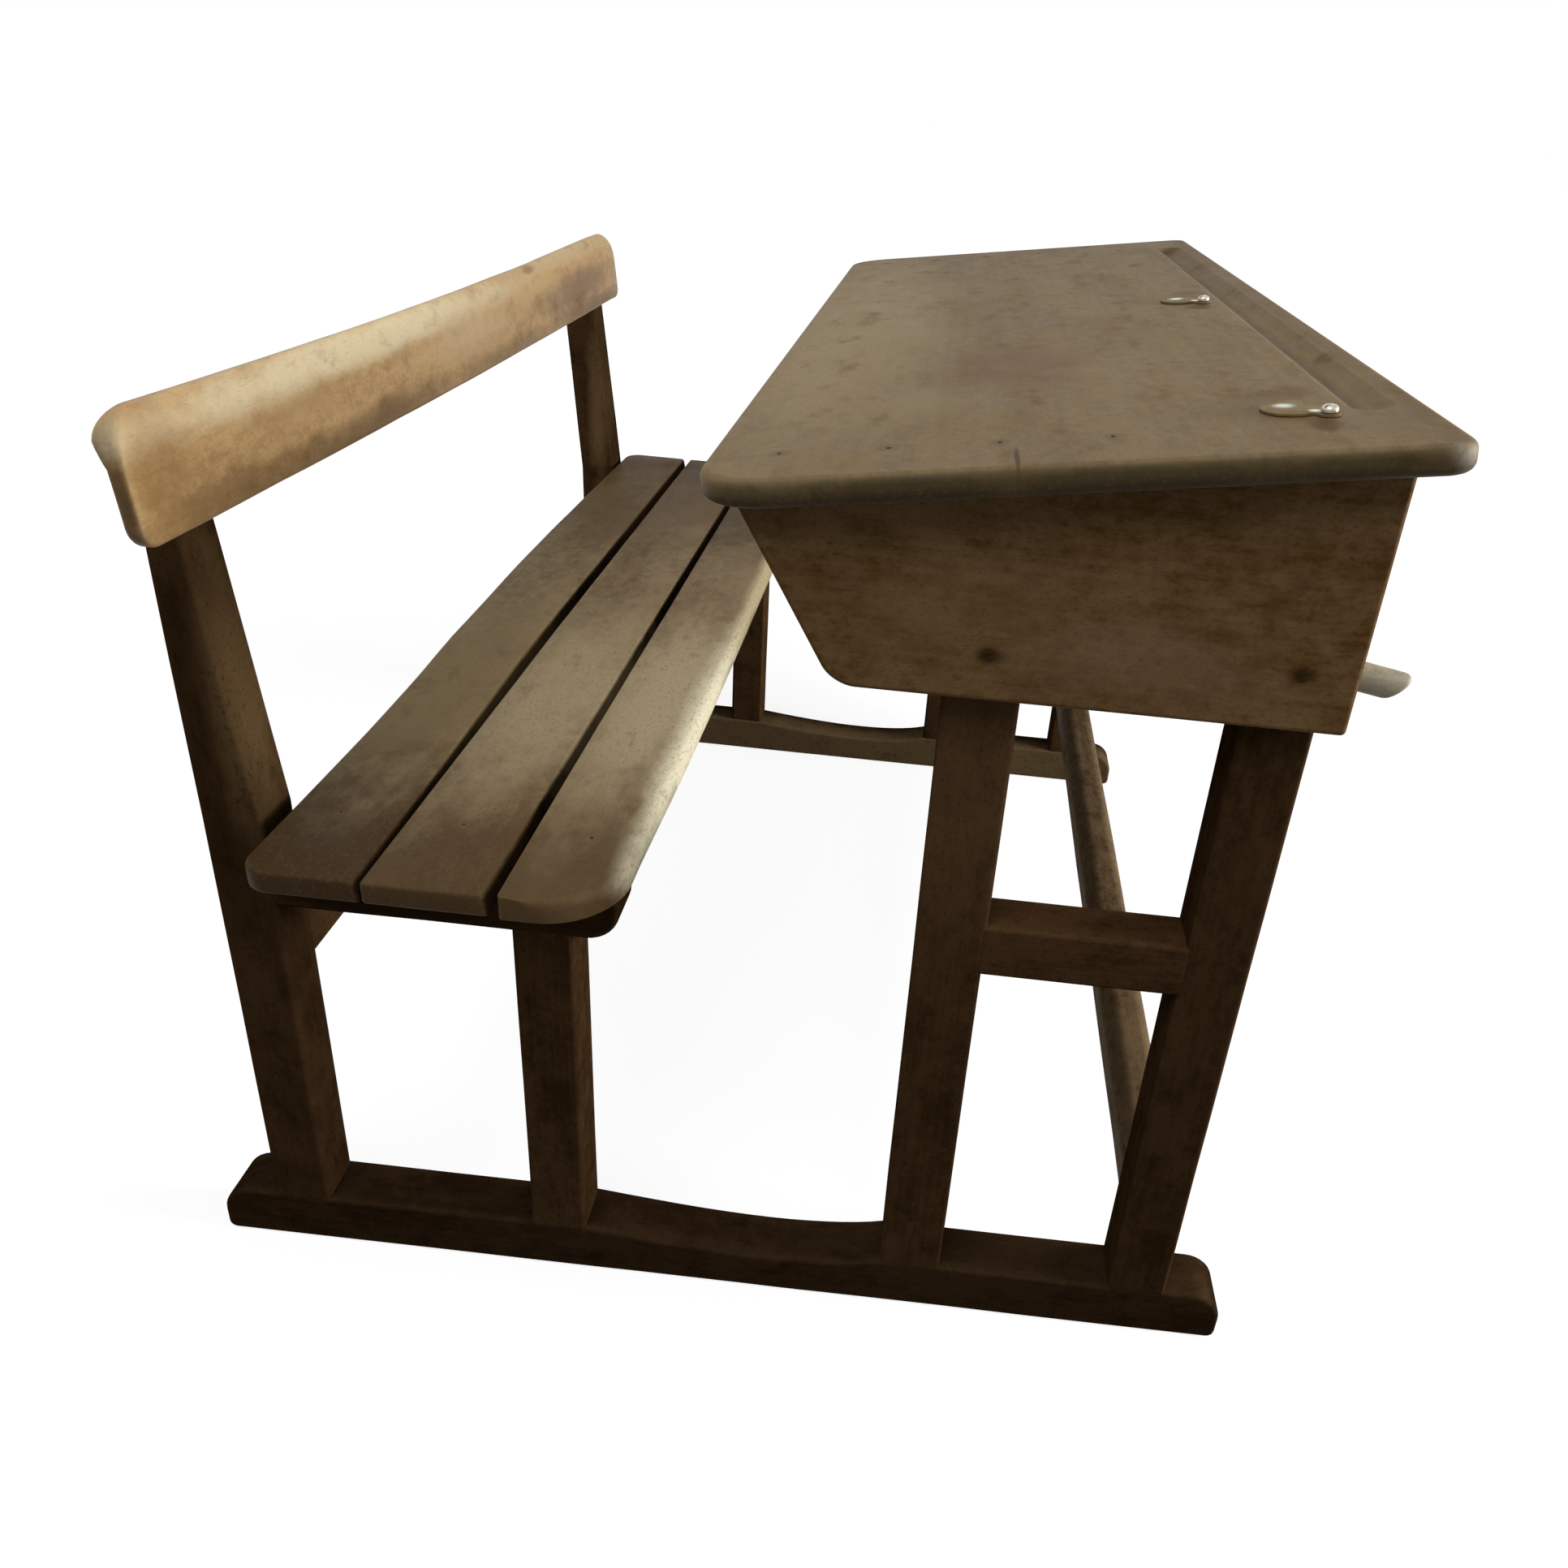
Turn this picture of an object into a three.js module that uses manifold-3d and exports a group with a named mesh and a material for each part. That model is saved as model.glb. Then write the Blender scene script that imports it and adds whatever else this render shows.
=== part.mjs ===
// Double school desk: a sloping desk for two pupils and its bench, joined by two floor sleds.
// Millimetres, Z up. X runs from the back of the bench to the back of the desk, Y along the
// length, from the near end frame (negative) to the far one. The origin is the bottom centre.
import * as THREE from 'three';
import { mergeVertices } from 'three/addons/utils/BufferGeometryUtils.js';
import Module from 'manifold-3d';

// Shared
const FRAME_SPAN = 980; // over the outer faces of the two end frames
const POST_THICKNESS = 42; // along Y, of every post and bearer
const FIT = 0.3; // clearance round a tenon, a screw or a let-in piece
const OVERRUN = 5; // how far a cutter runs past the face that it cuts
const ARRIS = 2; // softened edge of the frame's timber
const TENON_THICKNESS = 14;
const TENON_SHOULDER = 6;

// Sleds
const SLED_LENGTH = 850;
const SLED_HEIGHT = 48;
const SLED_THICKNESS = 44;
const SLED_END_RADIUS = 26;
const SLED_TOE_RADIUS = 7;
const SCOOP_DEPTH = 11;
const SCOOP_LOW_SHARE = 0.72; // where the scoop's control point lies along the scoop
const FOOT_TENON_LENGTH = 30;

// Posts, from the back of the bench to the back of the desk
const UPRIGHT_SETBACK = 49; // from the rear end of the sled
const UPRIGHT_WIDTH = 45;
const UPRIGHT_HEIGHT = 691;
const UPRIGHT_HEAD_RADIUS = 5;
const UPRIGHT_LEAN_START = 420; // height where the upright starts to recline
const UPRIGHT_FACE_LEAN = 5.8; // degrees, front face
const NEAR_BACK_LEAN = 0.4; // degrees, rear face of the near upright, sawn to a taper
const FAR_BACK_LEAN = 4.5; // degrees, rear face of the far upright
const BENCH_LEG_GAP = 174; // upright to bench leg
const BENCH_LEG_WIDTH = 45;
const KNEE_GAP = 249; // bench leg to front desk leg
const DESK_FRONT_LEG_WIDTH = 50;
const DESK_FRONT_LEG_HEIGHT = 688;
const DESK_LEG_GAP = 141; // front desk leg to back desk leg
const DESK_BACK_LEG_WIDTH = 47;
const DESK_BACK_LEG_HEIGHT = 715;

// Bench
const SEAT_HEIGHT = 426;
const SLAT_THICKNESS = 18;
const SLAT_LENGTH = 1066;
const SEAT_OFFSET = -17; // the seat is set a little towards the near end
const SEAT_REAR_GAP = 6; // upright to rear slat
const REAR_SLAT_WIDTH = 83;
const REAR_SLAT_GAP = 5.5;
const MIDDLE_SLAT_WIDTH = 85.5;
const FRONT_SLAT_GAP = 10;
const FRONT_SLAT_WIDTH = 80;
const SLAT_CORNER = 6;
const SEAT_REAR_CORNER = 14;
const SEAT_FRONT_CORNER = 60;
const SLAT_EDGE = 3;
const BEARER_HEIGHT = 57;
const BEARER_NOSE = 35; // how far the bearer stands in front of the bench leg
const BEARER_NOSE_RADIUS = 27;
const BEARER_TENON_LENGTH = 22;
const LEG_HEAD_TENON_LENGTH = 26;
const APRON_DROP = 130; // from the underside of the slats to the bottom of the apron
const APRON_HEIGHT = 70;
const APRON_THICKNESS = 22;
const APRON_SETBACK = 1; // behind the front faces of the uprights
const RAIL_TENON_LENGTH = 24;
const RAIL_TENON_THICKNESS = 12;

// Backrest
const BACKREST_LENGTH = 1068;
const BACKREST_OFFSET = -4; // set a little towards the near end
const BACKREST_BOTTOM = 640;
const BACKREST_TOP = 722;
const BACKREST_THICKNESS = 12.5;
const BACKREST_FOOT_RADIUS = 4;
const BACKREST_HEAD_RADIUS = 9;
const BACKREST_TOP_CORNER = 34;
const BACKREST_BOTTOM_CORNER = 14;
const ROLL_REACH = 8; // how far the rolled top edge stands out behind the board
const ROLL_DEPTH = 19; // from the top of the board to the lowest full reach of the roll
const ROLL_SLOPE = 11; // height over which the roll runs back to the board
const ROLL_RADIUS = 5;

// Rails
const CROSS_RAIL_BOTTOM = 356;
const CROSS_RAIL_HEIGHT = 43;
const CROSS_RAIL_THICKNESS = 40;
const FOOT_RAIL_BOTTOM = 118;
const FOOT_RAIL_HEIGHT = 38;
const FOOT_RAIL_WIDTH = 41;
const FOOT_RAIL_SETBACK = 1.5; // behind the front face of the back legs
const FOOT_RAIL_WORN_RADIUS = 13;

// Box under the top
const BOX_BOTTOM = 585;
const BOX_SIDE_THICKNESS = 20;
const BOX_FRONT = 491.6; // where the raked front edge would meet the bottom edge
const BOX_RAKE = 29.6; // degrees, front edge from the vertical
const BOX_FRONT_RADIUS = 25;
const BOX_CORNER_RADIUS = 4;
const BOX_BACK_THICKNESS = 12;
const BOX_FLOOR_THICKNESS = 12;
const BOX_FLOOR_SETBACK = 12; // behind the raked front edge of the sides
const DIVIDER_THICKNESS = 12;
const DIVIDER_PLACE = -9; // clear of the far ink cup
const CLEAT_SIZE = 20;
const CLEAT_START = 40; // from the front edge of the top

// Top, measured along its slope from its front edge
const TOP_FRONT = 403.4; // from the rear end of the sled
const TOP_FRONT_HEIGHT = 713.3;
const TOP_SLOPE = 8.46; // degrees
const TOP_DEPTH = 436;
const TOP_LENGTH = 1068;
const TOP_THICKNESS = 18;
const TOP_FRONT_CORNER = 42;
const TOP_BACK_CORNER = 18;
const TOP_EDGE = 4;
const GROOVE_FROM_BACK = 34; // middle of the groove to the back edge
const GROOVE_WIDTH = 20;
const GROOVE_DEPTH = 8;
const GROOVE_ROUND = 5;
const GROOVE_LENGTH = 892;
const NAIL_FROM_FRONT = 46;
const NAIL_PITCH = 66;
const NAIL_COUNT = 4;
const NAIL_INSET = 57; // from the end of the top
const NAIL_RADIUS = 2.2;
const NAIL_LENGTH = 30;

// Inkwells and their swivelling covers
const WELL_FROM_BACK = 81; // middle of the well to the back edge of the top
const NEAR_WELL_PLACE = -436;
const FAR_WELL_PLACE = 12;
const CUP_RADIUS = 14;
const CUP_WALL = 2.5;
const CUP_DEPTH = 34;
const CUP_FLANGE_RADIUS = 16;
const CUP_FLANGE_THICKNESS = 2.5;
const CUP_FOOT_RADIUS = 5;
const RING_RADIUS = 18;
const RING_HOLE_RADIUS = 12.5;
const RING_THICKNESS = 1.6;
const RING_PROUD = 0.4; // above the wood
const COVER_RADIUS = 19;
const COVER_THICKNESS = 1.8;
const COVER_EYE_RADIUS = 6.5;
const COVER_NECK_WIDTH = 10;
const PIVOT_REACH = 26; // middle of the cover to its pivot
const PIVOT_TURN = -48; // degrees, direction of the pivot from the middle of the cover
const PIVOT_SHANK_RADIUS = 2;
const PIVOT_SHANK_LENGTH = 13;
const PIVOT_HEAD_RADIUS = 5.2;
const PIVOT_HEAD_HEIGHT = 4;

// Satchel pegs
const PEG_PLACE = 460; // from the middle of the length
const PEG_HEIGHT = 609;
const PEG_RADIUS = 10;
const PEG_REACH = 50; // out of the back of the box
const PEG_DROOP = 10; // degrees below the horizontal
const PEG_TIP_ROUND = 4;
const PEG_ROOT_DEPTH = 8; // into the back board

// Fasteners
const FRONT_BOX_SCREW_HEIGHT = 617;
const BACK_BOX_SCREW_HEIGHT = 624;
const BOX_SCREW_RADIUS = 4.5;
const BOX_SCREW_HEAD = 3;
const BOX_SCREW_SHANK_RADIUS = 2.5;
const BOX_SCREW_LENGTH = 46;
const SCREW_RECESS = 1;
const BACK_SCREW_RADIUS = 4;
const BACK_SCREW_HEAD = 3;
const BACK_SCREW_SHANK_RADIUS = 2;
const BACK_SCREW_REACH = 6; // into the backrest board
const BACK_SCREW_DROP = 12; // upper screw, below the top of the upright
const BACK_SCREW_SPACING = 26;
const SEAT_NAIL_RADIUS = 2.4;
const SEAT_NAIL_LENGTH = 42;

// Fineness of round stretches
const ROUND_STEPS = 5;
const EDGE_STEPS = 2;
const CIRCLE_STEPS = 24;
const SMALL_CIRCLE_STEPS = 12;

const wasm = await Module();
wasm.setup();
const radians = THREE.MathUtils.degToRad;

// Places along the sled, from its rear end
const uprightFront = UPRIGHT_SETBACK + UPRIGHT_WIDTH;
const benchLegRear = uprightFront + BENCH_LEG_GAP;
const benchLegFront = benchLegRear + BENCH_LEG_WIDTH;
const deskFrontLegFront = benchLegFront + KNEE_GAP;
const deskFrontLegBack = deskFrontLegFront + DESK_FRONT_LEG_WIDTH;
const deskBackLegFront = deskFrontLegBack + DESK_LEG_GAP;
const deskBackLegBack = deskBackLegFront + DESK_BACK_LEG_WIDTH;
const boxBack = deskBackLegBack + BOX_BACK_THICKNESS;
const bearerFront = benchLegFront + BEARER_NOSE;

// Heights and places across the frames
const slatBottom = SEAT_HEIGHT - SLAT_THICKNESS;
const apronBottom = slatBottom - APRON_DROP;
const apronTop = apronBottom + APRON_HEIGHT;
const bearerBottom = slatBottom - BEARER_HEIGHT;
const floorTop = BOX_BOTTOM + BOX_FLOOR_THICKNESS;
const frameOuter = FRAME_SPAN / 2;
const frameInner = frameOuter - POST_THICKNESS;
const frameMiddle = (frameOuter + frameInner) / 2;
const slope = radians(TOP_SLOPE);
const sides = [{ name: 'near', hand: -1 }, { name: 'far', hand: 1 }];

// Materials
const finish = (color, roughness, metalness = 0) =>
  new THREE.MeshStandardMaterial({ color, roughness, metalness });
const darkWood = () => finish('#3b2a1c', 0.6);
const boxWood = () => finish('#6f5136', 0.6);
const topWood = () => finish('#86704f', 0.5);
const seatWood = () => finish('#7d674a', 0.5);
const paleWood = () => finish('#b08d5b', 0.5);
const plated = () => finish('#b4b3aa', 0.35, 1);
const iron = () => finish('#2f2a26', 0.6, 1);
const glaze = () => finish('#e4e0d4', 0.2);

const desk = new THREE.Group();

function add(name, geometry, material, parent = desk) {
  const mesh = new THREE.Mesh(geometry, material);
  mesh.name = name;
  parent.add(mesh);
  return mesh;
}

// Booleans
function toSolid(geometry) {
  const bare = geometry.clone();
  bare.deleteAttribute('normal');
  bare.deleteAttribute('uv');
  const merged = mergeVertices(bare);
  return new wasm.Manifold(new wasm.Mesh({
    numProp: 3,
    vertProperties: Float32Array.from(merged.attributes.position.array),
    triVerts: Uint32Array.from(merged.index.array),
  }));
}

function toGeometry(solid) {
  const mesh = solid.getMesh();
  const geometry = new THREE.BufferGeometry();
  geometry.setAttribute('position', new THREE.BufferAttribute(mesh.vertProperties, 3));
  geometry.setIndex(new THREE.BufferAttribute(mesh.triVerts, 1));
  geometry.computeVertexNormals();
  return geometry;
}

function cut(geometry, cutters) {
  return toGeometry(cutters.reduce((solid, cutter) => solid.subtract(toSolid(cutter)), toSolid(geometry)));
}

function join(geometries) {
  return toGeometry(geometries.slice(1).reduce(
    (solid, other) => solid.add(toSolid(other)), toSolid(geometries[0])));
}

// Outlines and blanks
function outline(corners) {
  // Each corner is [x, y, radius]; a missing radius leaves it sharp.
  const shape = new THREE.Shape();
  const count = corners.length;
  const points = corners.map(([x, y]) => new THREE.Vector2(x, y));
  corners.forEach(([, , radius = 0], i) => {
    const here = points[i];
    const before = points[(i + count - 1) % count].clone().sub(here).normalize();
    const after = points[(i + 1) % count].clone().sub(here).normalize();
    const reach = radius / Math.tan(Math.acos(before.dot(after)) / 2);
    const start = here.clone().addScaledVector(before, reach);
    if (i === 0) shape.moveTo(start.x, start.y);
    else shape.lineTo(start.x, start.y);
    if (radius > 0) {
      const end = here.clone().addScaledVector(after, reach);
      shape.quadraticCurveTo(here.x, here.y, end.x, end.y);
    }
  });
  shape.closePath();
  return shape;
}

function extrude(shape, length, edge = 0, steps = ROUND_STEPS) {
  return new THREE.ExtrudeGeometry(shape, {
    depth: length - 2 * edge,
    bevelEnabled: edge > 0,
    bevelThickness: edge,
    bevelSize: edge,
    bevelOffset: -edge,
    bevelSegments: EDGE_STEPS,
    curveSegments: steps,
  }).translate(0, 0, edge);
}

// A shape drawn in X and Z, run along Y
function alongY(shape, from, to, edge, steps) {
  return extrude(shape, to - from, edge, steps).rotateX(Math.PI / 2).translate(0, to, 0);
}

// A shape drawn in Y and Z, run along X
function alongX(shape, from, to, edge, steps) {
  const turn = new THREE.Matrix4().makeBasis(
    new THREE.Vector3(0, 1, 0), new THREE.Vector3(0, 0, 1), new THREE.Vector3(1, 0, 0));
  return extrude(shape, to - from, edge, steps).applyMatrix4(turn).translate(from, 0, 0);
}

// A shape drawn in X and Y, run along Z
function alongZ(shape, from, to, edge, steps) {
  return extrude(shape, to - from, edge, steps).translate(0, 0, from);
}

function rectangle(x0, x1, y0, y1, radius = 0) {
  return outline([[x0, y0, radius], [x1, y0, radius], [x1, y1, radius], [x0, y1, radius]]);
}

function block(x0, x1, y0, y1, z0, z1) {
  return new THREE.BoxGeometry(x1 - x0, y1 - y0, z1 - z0)
    .translate((x0 + x1) / 2, (y0 + y1) / 2, (z0 + z1) / 2);
}

// A round bar along Z, from a lathe profile of [radius, height] pairs
function turned(profile, steps = CIRCLE_STEPS) {
  const points = profile.map(([radius, height]) => new THREE.Vector2(radius, height));
  return new THREE.LatheGeometry(points, steps).rotateX(Math.PI / 2);
}

function rod(radius, from, to, steps = SMALL_CIRCLE_STEPS) {
  return turned([[0, from], [radius, from], [radius, to], [0, to]], steps);
}

// Mortise and tenon: the tenon as drawn, the mortise larger by the fit
function grow([x0, x1, y0, y1, z0, z1], by) {
  return [x0 - by, x1 + by, y0 - by, y1 + by, z0 - by, z1 + by];
}

const tenon = (box) => block(...box);
const mortise = (box) => block(...grow(box, FIT));

function band(middle, thickness) {
  return [middle - thickness / 2, middle + thickness / 2];
}

// Tenons that the end frames hold, on one hand of the desk
function frameTenons(hand) {
  const middle = hand * frameMiddle;
  const [y0, y1] = band(middle, TENON_THICKNESS);
  const foot = (from, to) =>
    [from + TENON_SHOULDER, to - TENON_SHOULDER, y0, y1, SLED_HEIGHT - FOOT_TENON_LENGTH, SLED_HEIGHT];
  const crossLow = CROSS_RAIL_BOTTOM + TENON_SHOULDER;
  const crossHigh = CROSS_RAIL_BOTTOM + CROSS_RAIL_HEIGHT - TENON_SHOULDER;
  const inner = hand * frameInner;
  const into = inner + hand * RAIL_TENON_LENGTH;
  const [inY0, inY1] = [Math.min(inner, into), Math.max(inner, into)];
  const footRailMiddle = deskBackLegFront + FOOT_RAIL_SETBACK + FOOT_RAIL_WIDTH / 2;
  const apronMiddle = uprightFront - APRON_SETBACK - APRON_THICKNESS / 2;
  return {
    upright: foot(UPRIGHT_SETBACK, uprightFront),
    benchLeg: foot(benchLegRear, benchLegFront),
    deskFrontLeg: foot(deskFrontLegFront, deskFrontLegBack),
    deskBackLeg: foot(deskBackLegFront, deskBackLegBack),
    bearer: [uprightFront - BEARER_TENON_LENGTH, uprightFront, y0, y1,
      bearerBottom + TENON_SHOULDER, slatBottom - TENON_SHOULDER],
    legHead: [benchLegRear + TENON_SHOULDER, benchLegFront - TENON_SHOULDER, y0, y1,
      bearerBottom, bearerBottom + LEG_HEAD_TENON_LENGTH],
    crossFront: [deskFrontLegBack - RAIL_TENON_LENGTH, deskFrontLegBack, y0, y1, crossLow, crossHigh],
    crossBack: [deskBackLegFront, deskBackLegFront + RAIL_TENON_LENGTH, y0, y1, crossLow, crossHigh],
    footRail: [...band(footRailMiddle, RAIL_TENON_THICKNESS), inY0, inY1,
      FOOT_RAIL_BOTTOM + TENON_SHOULDER, FOOT_RAIL_BOTTOM + FOOT_RAIL_HEIGHT - TENON_SHOULDER],
    apron: [...band(apronMiddle, RAIL_TENON_THICKNESS), inY0, inY1,
      apronBottom + TENON_SHOULDER, apronTop - TENON_SHOULDER],
  };
}

function postOf(x0, x1, height, hand) {
  const [y0, y1] = band(hand * frameMiddle, POST_THICKNESS);
  return alongZ(rectangle(x0, x1, y0, y1, ARRIS), SLED_HEIGHT, height, 0, 1);
}

function sledOutline() {
  const shape = new THREE.Shape();
  const low = SLED_HEIGHT - 2 * SCOOP_DEPTH;
  const control = benchLegFront + SCOOP_LOW_SHARE * KNEE_GAP;
  shape.moveTo(SLED_TOE_RADIUS, 0);
  shape.lineTo(SLED_LENGTH - SLED_TOE_RADIUS, 0);
  shape.quadraticCurveTo(SLED_LENGTH, 0, SLED_LENGTH, SLED_TOE_RADIUS);
  shape.lineTo(SLED_LENGTH, SLED_HEIGHT - SLED_END_RADIUS);
  shape.quadraticCurveTo(SLED_LENGTH, SLED_HEIGHT, SLED_LENGTH - SLED_END_RADIUS, SLED_HEIGHT);
  shape.lineTo(deskFrontLegFront, SLED_HEIGHT);
  shape.quadraticCurveTo(control, low, benchLegFront, SLED_HEIGHT);
  shape.lineTo(SLED_END_RADIUS, SLED_HEIGHT);
  shape.quadraticCurveTo(0, SLED_HEIGHT, 0, SLED_HEIGHT - SLED_END_RADIUS);
  shape.lineTo(0, SLED_TOE_RADIUS);
  shape.quadraticCurveTo(0, 0, SLED_TOE_RADIUS, 0);
  return shape;
}

function makeSled({ name, hand }, tenons) {
  const [y0, y1] = band(hand * (frameOuter - SLED_THICKNESS / 2), SLED_THICKNESS);
  const feet = [tenons.upright, tenons.benchLeg, tenons.deskFrontLeg, tenons.deskBackLeg];
  const blank = alongY(sledOutline(), y0, y1, ARRIS);
  add(`${name}_sled`, cut(blank, feet.map(mortise)), darkWood());
}

const faceAt = (z) => uprightFront - (z - UPRIGHT_LEAN_START) * Math.tan(radians(UPRIGHT_FACE_LEAN));

function backScrewPlaces() {
  const upper = UPRIGHT_HEIGHT - BACK_SCREW_DROP;
  return [{ place: 'upper', z: upper }, { place: 'lower', z: upper - BACK_SCREW_SPACING }];
}

const backLeanOf = (hand) => (hand < 0 ? NEAR_BACK_LEAN : FAR_BACK_LEAN);

// Profile of a countersunk screw from its point; a hole for it runs on past the head
function screwProfile(length, shank, head, headDepth, grow = 0) {
  const cone = [[0, -grow], [shank + grow, -grow], [shank + grow, length - headDepth], [head + grow, length]];
  const past = length + OVERRUN;
  return grow > 0 ? [...cone, [head + grow, past], [0, past]] : [...cone, [0, length]];
}

// A screw through an upright into the backrest, square to the leaning face, head at the rear
function backScrew(z, hand, grow = 0) {
  const lean = radians(UPRIGHT_FACE_LEAN);
  const rear = UPRIGHT_SETBACK - (z - UPRIGHT_LEAN_START) * Math.tan(radians(backLeanOf(hand)));
  const length = (faceAt(z) - rear) * Math.cos(lean) + BACK_SCREW_REACH - SCREW_RECESS;
  const profile = screwProfile(length, BACK_SCREW_SHANK_RADIUS, BACK_SCREW_RADIUS, BACK_SCREW_HEAD, grow);
  const [dx, dz] = [BACK_SCREW_REACH * Math.cos(lean), BACK_SCREW_REACH * Math.sin(lean)];
  return turned(profile, SMALL_CIRCLE_STEPS).rotateY(-Math.PI / 2 - lean)
    .translate(faceAt(z) + dx, hand * frameMiddle, z + dz);
}

function makeUpright({ name, hand }, tenons) {
  const rise = UPRIGHT_HEIGHT - UPRIGHT_LEAN_START;
  const side = outline([
    [UPRIGHT_SETBACK, SLED_HEIGHT],
    [uprightFront, SLED_HEIGHT],
    [uprightFront, UPRIGHT_LEAN_START],
    [faceAt(UPRIGHT_HEIGHT), UPRIGHT_HEIGHT, UPRIGHT_HEAD_RADIUS],
    [UPRIGHT_SETBACK - rise * Math.tan(radians(backLeanOf(hand))), UPRIGHT_HEIGHT, UPRIGHT_HEAD_RADIUS],
    [UPRIGHT_SETBACK, UPRIGHT_LEAN_START],
  ]);
  const [y0, y1] = band(hand * frameMiddle, POST_THICKNESS);
  const blank = join([alongY(side, y0, y1, ARRIS), tenon(tenons.upright)]);
  const screwHoles = backScrewPlaces().map(({ z }) => backScrew(z, hand, FIT));
  const cutters = [mortise(tenons.bearer), mortise(tenons.apron), ...screwHoles];
  add(`${name}_upright`, cut(blank, cutters), darkWood());
}

function makeBackScrews({ name, hand }) {
  for (const { place, z } of backScrewPlaces()) {
    add(`${name}_backrest_screw_${place}`, backScrew(z, hand), iron());
  }
}

function makeBenchLeg({ name, hand }, tenons) {
  const post = postOf(benchLegRear, benchLegFront, bearerBottom, hand);
  add(`${name}_bench_leg`, join([post, tenon(tenons.benchLeg), tenon(tenons.legHead)]), darkWood());
}

// A headless nail driven down to the face that is Z zero; a hole for it runs on above the face
function nail([x, y], radius, length, grow = 0) {
  return rod(radius + grow, -length - grow, grow > 0 ? OVERRUN : 0).translate(x, y, 0);
}

function seatNails(hand, grow = 0) {
  return slats().map(({ from, to }) =>
    nail([(from + to) / 2, hand * frameMiddle], SEAT_NAIL_RADIUS, SEAT_NAIL_LENGTH, grow)
      .translate(0, 0, SEAT_HEIGHT));
}

function makeBearer({ name, hand }, tenons) {
  const side = outline([
    [uprightFront, bearerBottom],
    [bearerFront, bearerBottom, BEARER_NOSE_RADIUS],
    [bearerFront, slatBottom, ARRIS],
    [uprightFront, slatBottom],
  ]);
  const [y0, y1] = band(hand * frameMiddle, POST_THICKNESS);
  const blank = join([alongY(side, y0, y1, 0), tenon(tenons.bearer)]);
  add(`${name}_seat_bearer`, cut(blank, [mortise(tenons.legHead), ...seatNails(hand, FIT)]), darkWood());
}

function slats() {
  const rear = uprightFront + SEAT_REAR_GAP;
  const middle = rear + REAR_SLAT_WIDTH + REAR_SLAT_GAP;
  const front = middle + MIDDLE_SLAT_WIDTH + FRONT_SLAT_GAP;
  const slat = (name, from, width, corners) => ({ name, from, to: from + width, corners });
  return [
    slat('rear_slat', rear, REAR_SLAT_WIDTH, [SEAT_REAR_CORNER, SLAT_CORNER]),
    slat('middle_slat', middle, MIDDLE_SLAT_WIDTH, [SLAT_CORNER, SLAT_CORNER]),
    slat('front_slat', front, FRONT_SLAT_WIDTH, [SLAT_CORNER, SEAT_FRONT_CORNER]),
  ];
}

function makeSlats() {
  const [y0, y1] = band(SEAT_OFFSET, SLAT_LENGTH);
  const nails = sides.flatMap(({ hand }) => seatNails(hand, FIT));
  for (const { name, from, to, corners: [rear, front] } of slats()) {
    const plan = outline([[from, y0, rear], [to, y0, front], [to, y1, front], [from, y1, rear]]);
    add(name, cut(alongZ(plan, slatBottom, SEAT_HEIGHT, SLAT_EDGE), nails), seatWood());
  }
}

function makeSeatNails({ name, hand }) {
  seatNails(hand).forEach((geometry, i) => add(`${name}_${slats()[i].name}_nail`, geometry, iron()));
}

function makeApron(tenonsOf) {
  const front = uprightFront - APRON_SETBACK;
  const section = rectangle(front - APRON_THICKNESS, front, apronBottom, apronTop, ARRIS);
  const body = alongY(section, -frameInner, frameInner, 0, EDGE_STEPS);
  add('seat_apron', join([body, ...tenonsOf.map(({ apron }) => tenon(apron))]), seatWood());
}

function makeBackrest() {
  const rearAt = (z) => faceAt(z) + FIT;
  const foot = rearAt(BACKREST_BOTTOM);
  const head = rearAt(BACKREST_TOP);
  const rollLow = BACKREST_TOP - ROLL_DEPTH;
  const rollStart = rollLow - ROLL_SLOPE;
  const section = outline([
    [foot, BACKREST_BOTTOM, BACKREST_FOOT_RADIUS],
    [foot + BACKREST_THICKNESS, BACKREST_BOTTOM, BACKREST_FOOT_RADIUS],
    [head + BACKREST_THICKNESS, BACKREST_TOP, BACKREST_HEAD_RADIUS],
    [head - ROLL_REACH, BACKREST_TOP, BACKREST_HEAD_RADIUS],
    [rearAt(rollLow) - ROLL_REACH, rollLow, ROLL_RADIUS],
    [rearAt(rollStart), rollStart],
  ]);
  const [y0, y1] = band(BACKREST_OFFSET, BACKREST_LENGTH);
  const face = outline([
    [y0, BACKREST_BOTTOM, BACKREST_BOTTOM_CORNER],
    [y1, BACKREST_BOTTOM, BACKREST_BOTTOM_CORNER],
    [y1, BACKREST_TOP, BACKREST_TOP_CORNER],
    [y0, BACKREST_TOP, BACKREST_TOP_CORNER],
  ]);
  const body = toSolid(alongY(section, y0, y1, 0));
  const shaped = toGeometry(body.intersect(toSolid(
    alongX(face, head - ROLL_REACH - OVERRUN, foot + BACKREST_THICKNESS + OVERRUN))));
  const holes = sides.flatMap(({ hand }) => backScrewPlaces().map(({ z }) => backScrew(z, hand, FIT)));
  add('backrest_board', cut(shaped, holes), paleWood());
}

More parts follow.
